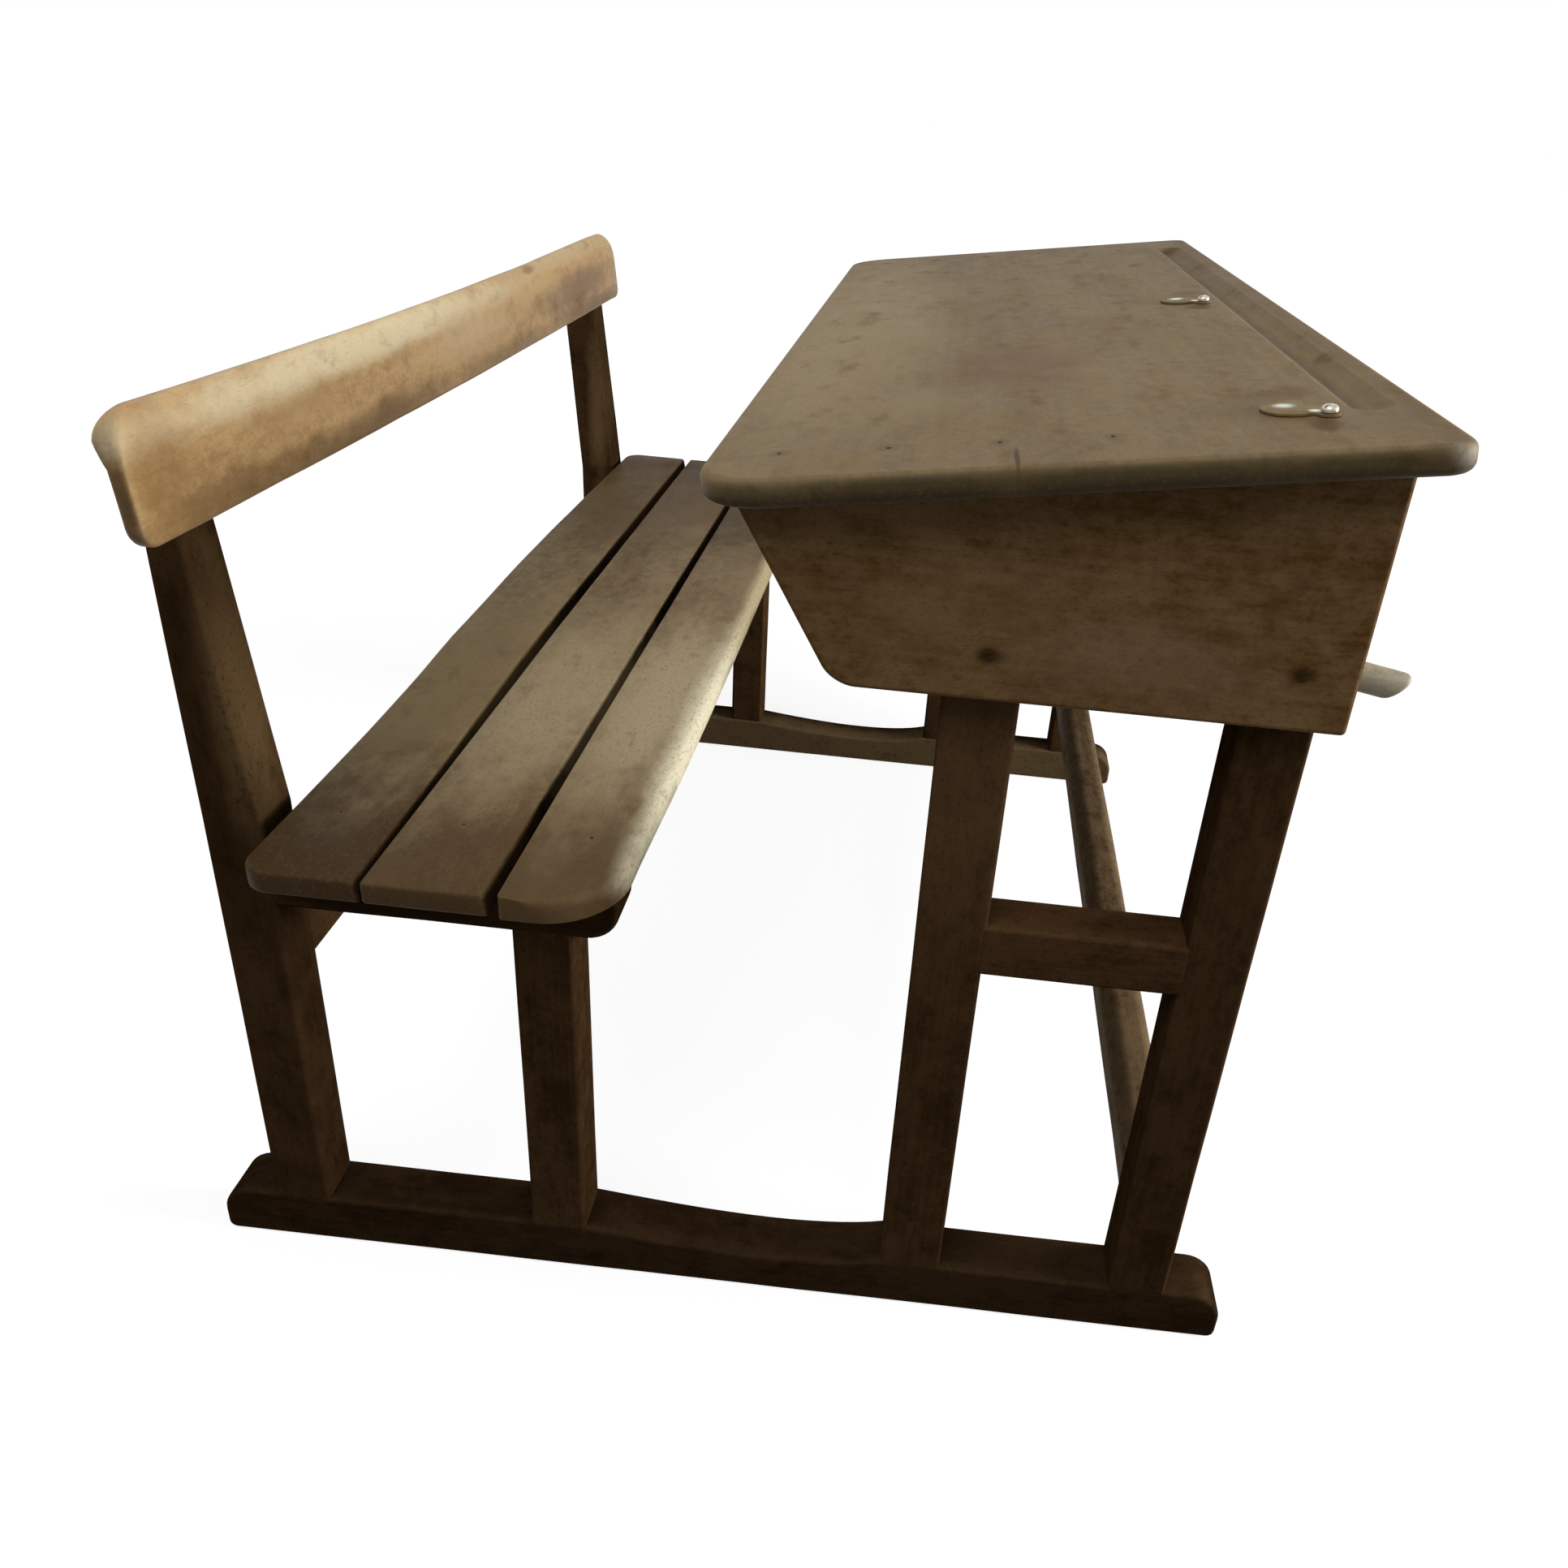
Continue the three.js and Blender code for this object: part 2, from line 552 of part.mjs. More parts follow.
// Screws from the outer face of the box side into the legs
function boxScrews(hand, grow = 0) {
  const profile = screwProfile(
    BOX_SCREW_LENGTH, BOX_SCREW_SHANK_RADIUS, BOX_SCREW_RADIUS, BOX_SCREW_HEAD, grow);
  const head = frameOuter + BOX_SIDE_THICKNESS - SCREW_RECESS;
  const places = [
    [(deskFrontLegFront + deskFrontLegBack) / 2, FRONT_BOX_SCREW_HEIGHT],
    [(deskBackLegFront + deskBackLegBack) / 2, BACK_BOX_SCREW_HEIGHT],
  ];
  return places.map(([x, z]) => turned(profile, SMALL_CIRCLE_STEPS).rotateX(-hand * Math.PI / 2)
    .translate(x, hand * (head - BOX_SCREW_LENGTH), z));
}

function makeBoxScrews({ name, hand }) {
  const [front, back] = boxScrews(hand);
  add(`${name}_box_screw_front`, front, iron());
  add(`${name}_box_screw_back`, back, iron());
}

function makeDeskLegs({ name, hand }, tenons) {
  const screws = boxScrews(hand, FIT);
  const front = join([postOf(deskFrontLegFront, deskFrontLegBack, DESK_FRONT_LEG_HEIGHT, hand),
    tenon(tenons.deskFrontLeg)]);
  const back = join([postOf(deskBackLegFront, deskBackLegBack, DESK_BACK_LEG_HEIGHT, hand),
    tenon(tenons.deskBackLeg)]);
  const backCutters = [mortise(tenons.crossBack), mortise(tenons.footRail), ...screws];
  add(`${name}_desk_front_leg`, cut(front, [mortise(tenons.crossFront), ...screws]), darkWood());
  add(`${name}_desk_back_leg`, cut(back, backCutters), darkWood());
}

function makeCrossRail({ name, hand }, tenons) {
  const [y0, y1] = band(hand * (frameOuter - CROSS_RAIL_THICKNESS / 2), CROSS_RAIL_THICKNESS);
  const section = rectangle(y0, y1, CROSS_RAIL_BOTTOM, CROSS_RAIL_BOTTOM + CROSS_RAIL_HEIGHT, ARRIS);
  const body = alongX(section, deskFrontLegBack, deskBackLegFront, 0, EDGE_STEPS);
  add(`${name}_cross_rail`, join([body, tenon(tenons.crossFront), tenon(tenons.crossBack)]), darkWood());
}

function makeFootRail(tenonsOf) {
  const front = deskBackLegFront + FOOT_RAIL_SETBACK;
  const top = FOOT_RAIL_BOTTOM + FOOT_RAIL_HEIGHT;
  const section = outline([
    [front, FOOT_RAIL_BOTTOM, ARRIS],
    [front + FOOT_RAIL_WIDTH, FOOT_RAIL_BOTTOM, ARRIS],
    [front + FOOT_RAIL_WIDTH, top, FOOT_RAIL_WORN_RADIUS],
    [front, top, FOOT_RAIL_WORN_RADIUS],
  ]);
  const body = alongY(section, -frameInner, frameInner, 0);
  add('foot_rail', join([body, ...tenonsOf.map(({ footRail }) => tenon(footRail))]), seatWood());
}

// Box: everything ends just under the sloping top
const undersideAt = (x) =>
  TOP_FRONT_HEIGHT - TOP_THICKNESS / Math.cos(slope) + (x - TOP_FRONT) * Math.tan(slope) - FIT;
const rakeAt = (z, setback = 0) => BOX_FRONT + setback - (z - BOX_BOTTOM) * Math.tan(radians(BOX_RAKE));

// Where the raked front edge meets the underside of the top
function rakeTop(setback = 0) {
  const rake = Math.tan(radians(BOX_RAKE));
  const x = (BOX_FRONT + setback - (undersideAt(0) - BOX_BOTTOM) * rake) / (1 + Math.tan(slope) * rake);
  return [x, undersideAt(x)];
}

function makeBoxSide({ name, hand }) {
  const side = outline([
    [BOX_FRONT, BOX_BOTTOM, BOX_FRONT_RADIUS],
    [boxBack, BOX_BOTTOM, BOX_CORNER_RADIUS],
    [boxBack, undersideAt(boxBack)],
    rakeTop(),
  ]);
  const [y0, y1] = band(hand * (frameOuter + BOX_SIDE_THICKNESS / 2), BOX_SIDE_THICKNESS);
  const blank = alongY(side, y0, y1, ARRIS);
  add(`${name}_box_side`, cut(blank, boxScrews(hand, FIT)), boxWood());
}

function makeBoxFloor() {
  const front = rakeAt(BOX_BOTTOM, BOX_FLOOR_SETBACK);
  const legs = [[deskFrontLegFront, deskFrontLegBack], [deskBackLegFront, deskBackLegBack + OVERRUN]];
  const notches = sides.flatMap(({ hand }) => legs.map(([from, to]) => {
    const [y0, y1] = [hand * frameInner, hand * (frameOuter + OVERRUN)].sort((a, b) => a - b);
    return block(...grow([from, to, y0, y1, BOX_BOTTOM - OVERRUN, floorTop + OVERRUN], FIT));
  }));
  const plan = rectangle(front, deskBackLegBack, -frameOuter, frameOuter);
  add('box_floor', cut(alongZ(plan, BOX_BOTTOM, floorTop), notches), boxWood());
}

function pegBar(radius, from, to, tipRound = 0) {
  const profile = tipRound > 0
    ? [[0, from], [radius, from], [radius, to - tipRound], [radius - tipRound, to], [0, to]]
    : [[0, from], [radius, from], [radius, to], [0, to]];
  return turned(profile).rotateY(Math.PI / 2 + radians(PEG_DROOP));
}

const pegAt = (bar, hand) => bar.translate(boxBack, hand * PEG_PLACE, PEG_HEIGHT);

function makeBoxBack() {
  const [x0, x1] = [deskBackLegBack, boxBack];
  const side = outline([[x0, BOX_BOTTOM], [x1, BOX_BOTTOM], [x1, undersideAt(x1)], [x0, undersideAt(x0)]]);
  const cutter = () => pegBar(PEG_RADIUS + FIT, -BOX_BACK_THICKNESS - OVERRUN, OVERRUN);
  const holes = sides.map(({ hand }) => pegAt(cutter(), hand));
  add('box_back', cut(alongY(side, -frameOuter, frameOuter, 0), holes), boxWood());
}

function makePeg({ name, hand }) {
  const bar = pegBar(PEG_RADIUS, -PEG_ROOT_DEPTH, PEG_REACH, PEG_TIP_ROUND);
  add(`${name}_satchel_peg`, pegAt(bar, hand), paleWood());
}

function makeDivider() {
  const side = outline([
    [rakeAt(floorTop, BOX_FLOOR_SETBACK), floorTop],
    [deskBackLegBack, floorTop],
    [deskBackLegBack, undersideAt(deskBackLegBack)],
    rakeTop(BOX_FLOOR_SETBACK),
  ]);
  const [y0, y1] = band(DIVIDER_PLACE, DIVIDER_THICKNESS);
  add('box_divider', alongY(side, y0, y1, 0), boxWood());
}

// Sloping top and what is let into it, in a group turned to the slope: X runs up the slope from
// the front edge and Z is zero on the writing face.
const sloping = new THREE.Group();
sloping.position.set(TOP_FRONT, 0, TOP_FRONT_HEIGHT);
sloping.rotation.y = -slope;
desk.add(sloping);

const wellMiddle = TOP_DEPTH - WELL_FROM_BACK;
const wells = [{ name: 'near', y: NEAR_WELL_PLACE }, { name: 'far', y: FAR_WELL_PLACE }];

const pivotOffset = () =>
  [PIVOT_REACH * Math.cos(radians(PIVOT_TURN)), PIVOT_REACH * Math.sin(radians(PIVOT_TURN))];

const ringSeat = RING_PROUD - RING_THICKNESS; // underside of the ring
const cupTop = ringSeat - FIT;

function wellCutters({ y }) {
  const [dx, dy] = pivotOffset();
  const bore = CUP_RADIUS + FIT;
  const flange = CUP_FLANGE_RADIUS + FIT;
  const flangeSeat = cupTop - CUP_FLANGE_THICKNESS - FIT;
  const low = -TOP_THICKNESS - OVERRUN;
  const ring = RING_RADIUS + FIT;
  const well = turned([[0, low], [bore, low], [bore, flangeSeat], [flange, flangeSeat],
    [flange, ringSeat - FIT], [ring, ringSeat - FIT], [ring, OVERRUN], [0, OVERRUN]]);
  const shank = rod(PIVOT_SHANK_RADIUS + FIT, -PIVOT_SHANK_LENGTH - FIT, OVERRUN);
  return [well.translate(wellMiddle, y, 0), shank.translate(wellMiddle + dx, y + dy, 0)];
}

function topNails(hand, grow = 0) {
  return Array.from({ length: NAIL_COUNT }, (_, i) => {
    const place = [NAIL_FROM_FRONT + i * NAIL_PITCH, hand * (TOP_LENGTH / 2 - NAIL_INSET)];
    return nail(place, NAIL_RADIUS, NAIL_LENGTH, grow);
  });
}

function grooveCutter() {
  const half = GROOVE_LENGTH / 2;
  const middle = TOP_DEPTH - GROOVE_FROM_BACK;
  const stadium = new THREE.Shape();
  const radius = GROOVE_WIDTH / 2;
  stadium.absarc(middle, half - radius, radius, 0, Math.PI);
  stadium.absarc(middle, radius - half, radius, Math.PI, 2 * Math.PI);
  return alongZ(stadium, -GROOVE_DEPTH, GROOVE_DEPTH + GROOVE_ROUND, GROOVE_ROUND, ROUND_STEPS * EDGE_STEPS);
}

function makeTop() {
  const half = TOP_LENGTH / 2;
  const plan = outline([
    [0, -half, TOP_FRONT_CORNER],
    [TOP_DEPTH, -half, TOP_BACK_CORNER],
    [TOP_DEPTH, half, TOP_BACK_CORNER],
    [0, half, TOP_FRONT_CORNER],
  ]);
  const blank = alongZ(plan, -TOP_THICKNESS, 0, TOP_EDGE);
  const nails = sides.flatMap(({ hand }) => topNails(hand, FIT));
  const cutters = [grooveCutter(), ...wells.flatMap(wellCutters), ...nails];
  add('desk_top', cut(blank, cutters), topWood(), sloping);
}

function makeCleat({ name, hand }) {
  const [y0, y1] = band(hand * (frameOuter - FIT - CLEAT_SIZE / 2), CLEAT_SIZE);
  const top = -TOP_THICKNESS - FIT;
  const bottom = top - CLEAT_SIZE;
  const end = (deskBackLegBack - FIT - TOP_FRONT + bottom * Math.sin(slope)) / Math.cos(slope);
  const blank = block(CLEAT_START, end, y0, y1, bottom, top);
  add(`${name}_top_cleat`, cut(blank, topNails(hand, FIT)), boxWood(), sloping);
}

function makeNails({ name, hand }) {
  topNails(hand).forEach((geometry, i) => add(`${name}_top_nail_${i + 1}`, geometry, iron(), sloping));
}

function makeRing({ name, y }) {
  const profile = [[RING_HOLE_RADIUS, ringSeat], [RING_RADIUS, ringSeat], [RING_RADIUS, RING_PROUD],
    [RING_HOLE_RADIUS, RING_PROUD], [RING_HOLE_RADIUS, ringSeat]];
  add(`${name}_inkwell_ring`, turned(profile).translate(wellMiddle, y, 0), plated(), sloping);
}

function makeCup({ name, y }) {
  const inner = CUP_RADIUS - CUP_WALL;
  const bottom = cupTop - CUP_DEPTH;
  const flangeLow = cupTop - CUP_FLANGE_THICKNESS;
  const profile = [
    [0, bottom],
    [CUP_RADIUS - CUP_FOOT_RADIUS, bottom],
    [CUP_RADIUS, bottom + CUP_FOOT_RADIUS],
    [CUP_RADIUS, flangeLow],
    [CUP_FLANGE_RADIUS, flangeLow],
    [CUP_FLANGE_RADIUS, cupTop],
    [inner, cupTop],
    [inner, bottom + CUP_FOOT_RADIUS],
    [inner - CUP_WALL, bottom + CUP_WALL],
    [0, bottom + CUP_WALL],
  ];
  add(`${name}_ink_cup`, turned(profile).translate(wellMiddle, y, 0), glaze(), sloping);
}

function makeCover({ name, y }) {
  const [dx, dy] = pivotOffset();
  const low = RING_PROUD + FIT;
  const high = low + COVER_THICKNESS;
  const place = (geometry, x, yy) => geometry.translate(wellMiddle + x, y + yy, 0);
  const disc = place(rod(COVER_RADIUS, low, high, CIRCLE_STEPS), 0, 0);
  const eye = place(rod(COVER_EYE_RADIUS, low, high), dx, dy);
  const neck = block(0, PIVOT_REACH, ...band(0, COVER_NECK_WIDTH), low, high);
  const hole = place(rod(PIVOT_SHANK_RADIUS + FIT, low - OVERRUN, high + OVERRUN), dx, dy);
  add(`${name}_inkwell_cover`, cut(join([disc, eye, place(neck.rotateZ(radians(PIVOT_TURN)), 0, 0)]), [hole]),
    plated(), sloping);
}

function makePivot({ name, y }) {
  const [dx, dy] = pivotOffset();
  const seat = RING_PROUD + COVER_THICKNESS + 2 * FIT;
  const crown = PIVOT_HEAD_HEIGHT / 2;
  const profile = [[0, -PIVOT_SHANK_LENGTH], [PIVOT_SHANK_RADIUS, -PIVOT_SHANK_LENGTH],
    [PIVOT_SHANK_RADIUS, seat], [PIVOT_HEAD_RADIUS, seat], [PIVOT_HEAD_RADIUS - crown / 2, seat + crown],
    [PIVOT_HEAD_RADIUS / 2, seat + PIVOT_HEAD_HEIGHT - crown / 4], [0, seat + PIVOT_HEAD_HEIGHT]];
  const screw = turned(profile, 2 * SMALL_CIRCLE_STEPS);
  add(`${name}_cover_pivot`, screw.translate(wellMiddle + dx, y + dy, 0), plated(), sloping);
}

// Assembly
const tenonsOf = sides.map(({ hand }) => frameTenons(hand));
sides.forEach((side, i) => {
  const tenons = tenonsOf[i];
  makeSled(side, tenons);
  makeUpright(side, tenons);
  makeBenchLeg(side, tenons);
  makeBearer(side, tenons);
  makeDeskLegs(side, tenons);
  makeCrossRail(side, tenons);
  makeBackScrews(side);
  makeSeatNails(side);
  makeBoxSide(side);
  makeBoxScrews(side);
  makePeg(side);
  makeCleat(side);
  makeNails(side);
});
makeSlats();
makeApron(tenonsOf);
makeBackrest();
makeFootRail(tenonsOf);
makeBoxFloor();
makeBoxBack();
makeDivider();
makeTop();
for (const well of wells) {
  makeRing(well);
  makeCup(well);
  makeCover(well);
  makePivot(well);
}

// The origin goes to the bottom centre of the whole desk.
desk.updateMatrixWorld(true);
const bounds = new THREE.Box3().setFromObject(desk, true);
const centre = bounds.getCenter(new THREE.Vector3());
desk.position.set(-centre.x, -centre.y, -bounds.min.z);

export default desk;
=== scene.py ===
"""Double school desk: wooden boards, metal inkwell fittings and a plain studio, in metres, Z up."""

import math
from typing import NamedTuple

import bmesh
import bpy
from bpy.props import FloatProperty, IntProperty, PointerProperty, StringProperty
from mathutils import Matrix, Vector


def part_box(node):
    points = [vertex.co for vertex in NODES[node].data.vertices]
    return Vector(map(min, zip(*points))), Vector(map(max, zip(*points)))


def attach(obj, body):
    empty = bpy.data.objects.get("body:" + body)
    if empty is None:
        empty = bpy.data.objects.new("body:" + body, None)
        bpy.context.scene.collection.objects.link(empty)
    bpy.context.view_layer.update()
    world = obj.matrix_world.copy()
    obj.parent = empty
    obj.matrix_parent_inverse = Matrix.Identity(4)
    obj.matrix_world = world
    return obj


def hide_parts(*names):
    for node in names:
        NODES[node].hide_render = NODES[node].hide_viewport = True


bl_info = {
    "name": "Double School Desk",
    "version": (1, 0, 0),
    "blender": (4, 5, 0),
    "location": "View3D > Sidebar > School Desk",
    "description": "Boards, inkwell fittings and studio for a two-pupil school desk",
    "category": "Add Mesh",
}

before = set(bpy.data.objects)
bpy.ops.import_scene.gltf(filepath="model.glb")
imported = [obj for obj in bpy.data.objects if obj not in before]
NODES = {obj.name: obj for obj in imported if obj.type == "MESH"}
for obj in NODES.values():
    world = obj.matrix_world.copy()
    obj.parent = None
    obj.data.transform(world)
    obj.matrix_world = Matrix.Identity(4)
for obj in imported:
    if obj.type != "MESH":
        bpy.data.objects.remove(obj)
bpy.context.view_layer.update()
X, Y, Z = 0, 1, 2
SIDES = ("near", "far")
HANDS = {"near": -1, "far": 1}
TINY = 0.0002
FIT = 0.0003  # clearance between pieces that lie against each other
SUNK = 0.004  # how far a shoulder is let into the timber it meets
THIN_ARRIS = 0.0015  # rounding of the box's thin boards
# Gaps between the edge loops that let each timber bend and wander
BEND_GAP, RAIL_GAP, SLED_GAP, POST_GAP, LONG_GAP = 0.04, 0.05, 0.06, 0.07, 0.09
SMOOTH = math.radians(38)  # edges flatter than this are shaded smooth


def size(name, description, default):
    return FloatProperty(name=name, description=description, default=default, unit="LENGTH", precision=4)


def angle(name, description, degrees):
    return FloatProperty(name=name, description=description, default=math.radians(degrees), subtype="ANGLE")


def shade(name, description, default):
    return StringProperty(name=name, description=description, default=default)


class DeskSizes(bpy.types.PropertyGroup):
    """Sizes of the desk that the solids' boxes alone don't give."""

    lean_start: size("Lean start", "Height where the uprights start to lean back", 0.420)
    face_lean: angle("Face lean", "Lean of the uprights' front faces", 5.8)
    near_rear_lean: angle("Near rear lean", "Lean of the near upright's rear face", 0.4)
    far_rear_lean: angle("Far rear lean", "Lean of the far upright's rear face", 4.5)
    upright_width: size("Upright width", "Width of an upright below the seat", 0.045)
    scoop: size("Scoop", "Depth of the hollow in each sled's upper edge", 0.011)
    tenon: size("Tenon", "Length of the tenons on the long rails", 0.024)
    backrest_thickness: size("Backrest thickness", "Thickness of the backrest board", 0.0128)
    roll_reach: size("Roll reach", "How far the backrest's rolled edge stands out behind the board", 0.008)
    back_dip: size("Backrest dip", "How far the backrest's top edge dips in its middle", 0.0065)
    slope: angle("Slope", "Slope of the writing surface", 8.46)
    rake: angle("Rake", "Rake of the box's front edges", 29.6)
    top_setback: size("Top setback", "Front edge of the top, from the rear end of the sleds", 0.4034)
    top_front: size("Top front", "Height of the top's front upper edge", 0.7133)
    top_depth: size("Top depth", "Depth of the top along its slope", 0.436)
    top_thickness: size("Top thickness", "Thickness of the top", 0.018)
    top_edge: size("Top edge", "Rounding of the top's edges", 0.006)
    groove: size("Groove place", "Middle of the pen groove, from the top's back edge", 0.034)
    groove_width: size("Groove width", "Width of the pen groove", 0.0300)
    groove_length: size("Groove length", "Length of the pen groove", 0.892)
    groove_depth: size("Groove depth", "Depth of the pen groove", 0.0065)
    well: size("Well place", "Middle of an inkwell, from the top's back edge", 0.081)
    near_well: size("Near well", "Near inkwell, from the middle of the end frames", -0.436)
    far_well: size("Far well", "Far inkwell, from the middle of the end frames", 0.012)
    ring: size("Ring radius", "Outer radius of an inkwell's ring", 0.018)
    ring_hole: size("Ring hole", "Inner radius of an inkwell's ring", 0.0125)
    cup: size("Cup radius", "Outer radius of an ink cup", 0.014)
    cover: size("Cover radius", "Radius of an inkwell's cover", 0.019)
    pivot_reach: size("Pivot reach", "Middle of a cover to its pivot", 0.026)
    pivot_turn: angle("Pivot turn", "Direction of a cover's pivot from its middle", -48)
    nail_first: size("First nail", "First nail in the top, from the top's front edge", 0.046)
    nail_pitch: size("Nail pitch", "Distance between the nails in the top", 0.066)
    nail_line: size("Nail line", "Line of nails, from the middle of the end frames", 0.477)
    arris: size("Arris", "Rounding of the timber's edges", 0.0036)
    wave: size("Wave", "How far hand-planed faces wander from flat", 0.0009)
    steps: IntProperty(name="Rounding steps", description="Faces across a rounded edge", default=4, min=2)


class DeskColours(bpy.types.PropertyGroup):
    """Colours of the desk's finishes, as sRGB hex values."""

    frame_pale: shade("Frame pale", "Frame timber between its rings", "#5a412a")
    frame_dark: shade("Frame dark", "Frame timber in its rings", "#3b2916")
    sled_pale: shade("Sled pale", "Sleds between their rings", "#433120")
    sled_dark: shade("Sled dark", "Sleds in their rings", "#302013")
    seat_pale: shade("Seat pale", "Seat boards between their rings", "#a18b68")
    seat_dark: shade("Seat dark", "Seat boards in their rings", "#786244")
    top_pale: shade("Top pale", "Writing top between its rings", "#907b58")
    top_dark: shade("Top dark", "Writing top in its rings", "#776244")
    box_pale: shade("Box pale", "Box boards between their rings", "#8b6d4b")
    box_dark: shade("Box dark", "Box boards in their rings", "#62461f")
    back_pale: shade("Backrest pale", "Backrest between its rings", "#d4ad77")
    back_dark: shade("Backrest dark", "Backrest in its rings", "#b08855")
    rail_pale: shade("Rail pale", "Foot rail between its rings", "#7a6448")
    rail_dark: shade("Rail dark", "Foot rail in its rings", "#4a3824")
    metal: shade("Metal", "Rubbed places on the plated fittings", "#d3dacb")
    iron: shade("Iron", "Screws and nails", "#422d17")
    glaze: shade("Glaze", "Ink cups", "#e6e2d6")


def sizes():
    return bpy.context.scene.desk_sizes


def colours():
    return bpy.context.scene.desk_colours


def linear(code):
    """Turns an sRGB hex value into a linear colour with full alpha."""
    shares = [int(code[i:i + 2], 16) / 255 for i in (1, 3, 5)]
    return [s / 12.92 if s <= 0.04045 else ((s + 0.055) / 1.055) ** 2.4 for s in shares] + [1.0]


# Modelling by hand

def deselect():
    """Leaves edit mode and selects nothing."""
    if bpy.context.mode == "EDIT_MESH":
        bpy.ops.object.mode_set(mode="OBJECT")
    bpy.ops.object.select_all(action="DESELECT")


def take(piece):
    """Makes one piece the selected and active one."""
    deselect()
    piece.select_set(True)
    bpy.context.view_layer.objects.active = piece


def settle(piece):
    """Puts a piece's place, turn and scale into its mesh."""
    take(piece)
    bpy.ops.object.transform_apply(location=True, rotation=True, scale=True)


def edit(piece):
    take(piece)
    bpy.ops.object.mode_set(mode="EDIT")


def begin(name, scale=(1, 1, 1)):
    """Names and scales the primitive just added, and leaves it in edit mode."""
    piece = bpy.context.object
    piece.name = piece.data.name = name
    piece.scale = scale
    settle(piece)
    edit(piece)
    return piece


def block(name, low, high):
    """A cube that fills the space from low to high, left in edit mode."""
    deselect()
    bpy.ops.mesh.primitive_cube_add(size=1.0, location=[(a + b) / 2 for a, b in zip(low, high)])
    return begin(name, [b - a for a, b in zip(low, high)])


def round_bar(name, radius, low, high, steps=48):
    """A cylinder along Z from low to high, left in edit mode."""
    deselect()
    bpy.ops.mesh.primitive_cylinder_add(vertices=steps, radius=radius, depth=high - low,
                                        location=(0, 0, (low + high) / 2))
    return begin(name)


def pick(piece, kind, test):
    """Selects the vertices, edges or faces that pass the test."""
    bpy.ops.mesh.select_mode(type=kind)
    bpy.ops.mesh.select_all(action="DESELECT")
    mesh = bmesh.from_edit_mesh(piece.data)
    parts = {"VERT": mesh.verts, "EDGE": mesh.edges, "FACE": mesh.faces}[kind]
    found = [part for part in parts if test(part)]
    if not found:
        raise RuntimeError(f"nothing to select on {piece.name}")
    for part in found:
        part.select_set(True)
    bmesh.update_edit_mesh(piece.data)


def choose(piece, kind, test):
    """Selects the parts whose corners all pass the test of x, y and z."""
    pick(piece, kind, lambda part: all(test(*v.co) for v in ([part] if kind == "VERT" else part.verts)))


def near(a, b):
    return abs(a - b) < TINY


def at(**places):
    """A test that a corner lies at the given x, y or z."""
    wanted = [("xyz".index(axis), place) for axis, place in places.items()]
    return lambda *corner: all(near(corner[i], place) for i, place in wanted)


def saw(axis, places):
    """Adds a loop of edges round the piece in edit mode at each place along an axis."""
    normal = [float(i == axis) for i in (X, Y, Z)]
    for place in places:
        bpy.ops.mesh.select_all(action="SELECT")
        bpy.ops.mesh.bisect(plane_co=[place * n for n in normal], plane_no=normal)


def between(low, high, gap):
    """Even places between two ends, about a gap apart."""
    count = max(1, round((high - low) / gap))
    return [low + (high - low) * i / count for i in range(1, count)]


def shift(piece, test, move):
    choose(piece, "VERT", test)
    bpy.ops.transform.translate(value=move)


def round_edges(piece, test, radius, steps=8):
    choose(piece, "EDGE", test)
    bpy.ops.mesh.bevel(offset=radius, segments=steps, profile=0.5, affect="EDGES", clamp_overlap=False)


def put_at(piece, place, turn=(0, 0, 0)):
    """Turns a piece, moves it to its place and settles it."""
    take(piece)
    piece.rotation_euler = turn
    piece.location = place
    settle(piece)


def flex(piece, move):
    """Moves every vertex by what a function of its place gives, to bend or hollow a board."""
    mesh = bmesh.from_edit_mesh(piece.data)
    for vertex in mesh.verts:
        vertex.co += Vector(move(*vertex.co))
    bmesh.update_edit_mesh(piece.data)


def along_table(table, share):
    """A value read off a table of rising shares and their values, evenly between its rows."""
    for (start, one), (end, other) in zip(table, table[1:]):
        if share <= end:
            return one + (other - one) * max(0.0, share - start) / (end - start)
    return table[-1][1]


def modify(piece, kind, **settings):
    """Adds a modifier with its settings and applies it."""
    take(piece)
    bpy.ops.object.modifier_add(type=kind)
    modifier = piece.modifiers[-1]
    for key, value in settings.items():
        setattr(modifier, key, value)
    bpy.ops.object.modifier_apply(modifier=modifier.name)


def soften(piece, radius, limit=SMOOTH, steps=None):
    modify(piece, "BEVEL", width=radius, segments=steps or sizes().steps, limit_method="ANGLE",
           angle_limit=limit, use_clamp_overlap=True)


def shade_smooth(piece, weighted=True):
    take(piece)
    bpy.ops.object.shade_smooth_by_angle(angle=SMOOTH)
    if weighted:
        modify(piece, "WEIGHTED_NORMAL", keep_sharp=True, weight=60)


def smooth(piece, arris=0.0, wave=0.0):
    """Rounds a piece's arrises, makes its faces wander and shades it."""
    if arris:
        soften(piece, arris)
    if wave:
        texture = bpy.data.textures.get("hand_planing") or bpy.data.textures.new("hand_planing", "CLOUDS")
        texture.noise_scale = 0.11
        modify(piece, "DISPLACE", texture=texture, texture_coords="LOCAL", strength=wave, mid_level=0.5)
    shade_smooth(piece, bool(arris))
    return piece


def carve(piece, cutter, operation="DIFFERENCE"):
    """Cuts the cutter out of the piece, or joins it on, and removes the cutter."""
    deselect()
    modify(piece, "BOOLEAN", operation=operation, object=cutter, solver="EXACT")
    bpy.data.objects.remove(cutter)


def hand_over(piece, node, body="desk"):
    """Hides the solid that the piece stands for and puts the piece under the body that it moves with."""
    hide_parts(node)
    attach(piece, body)


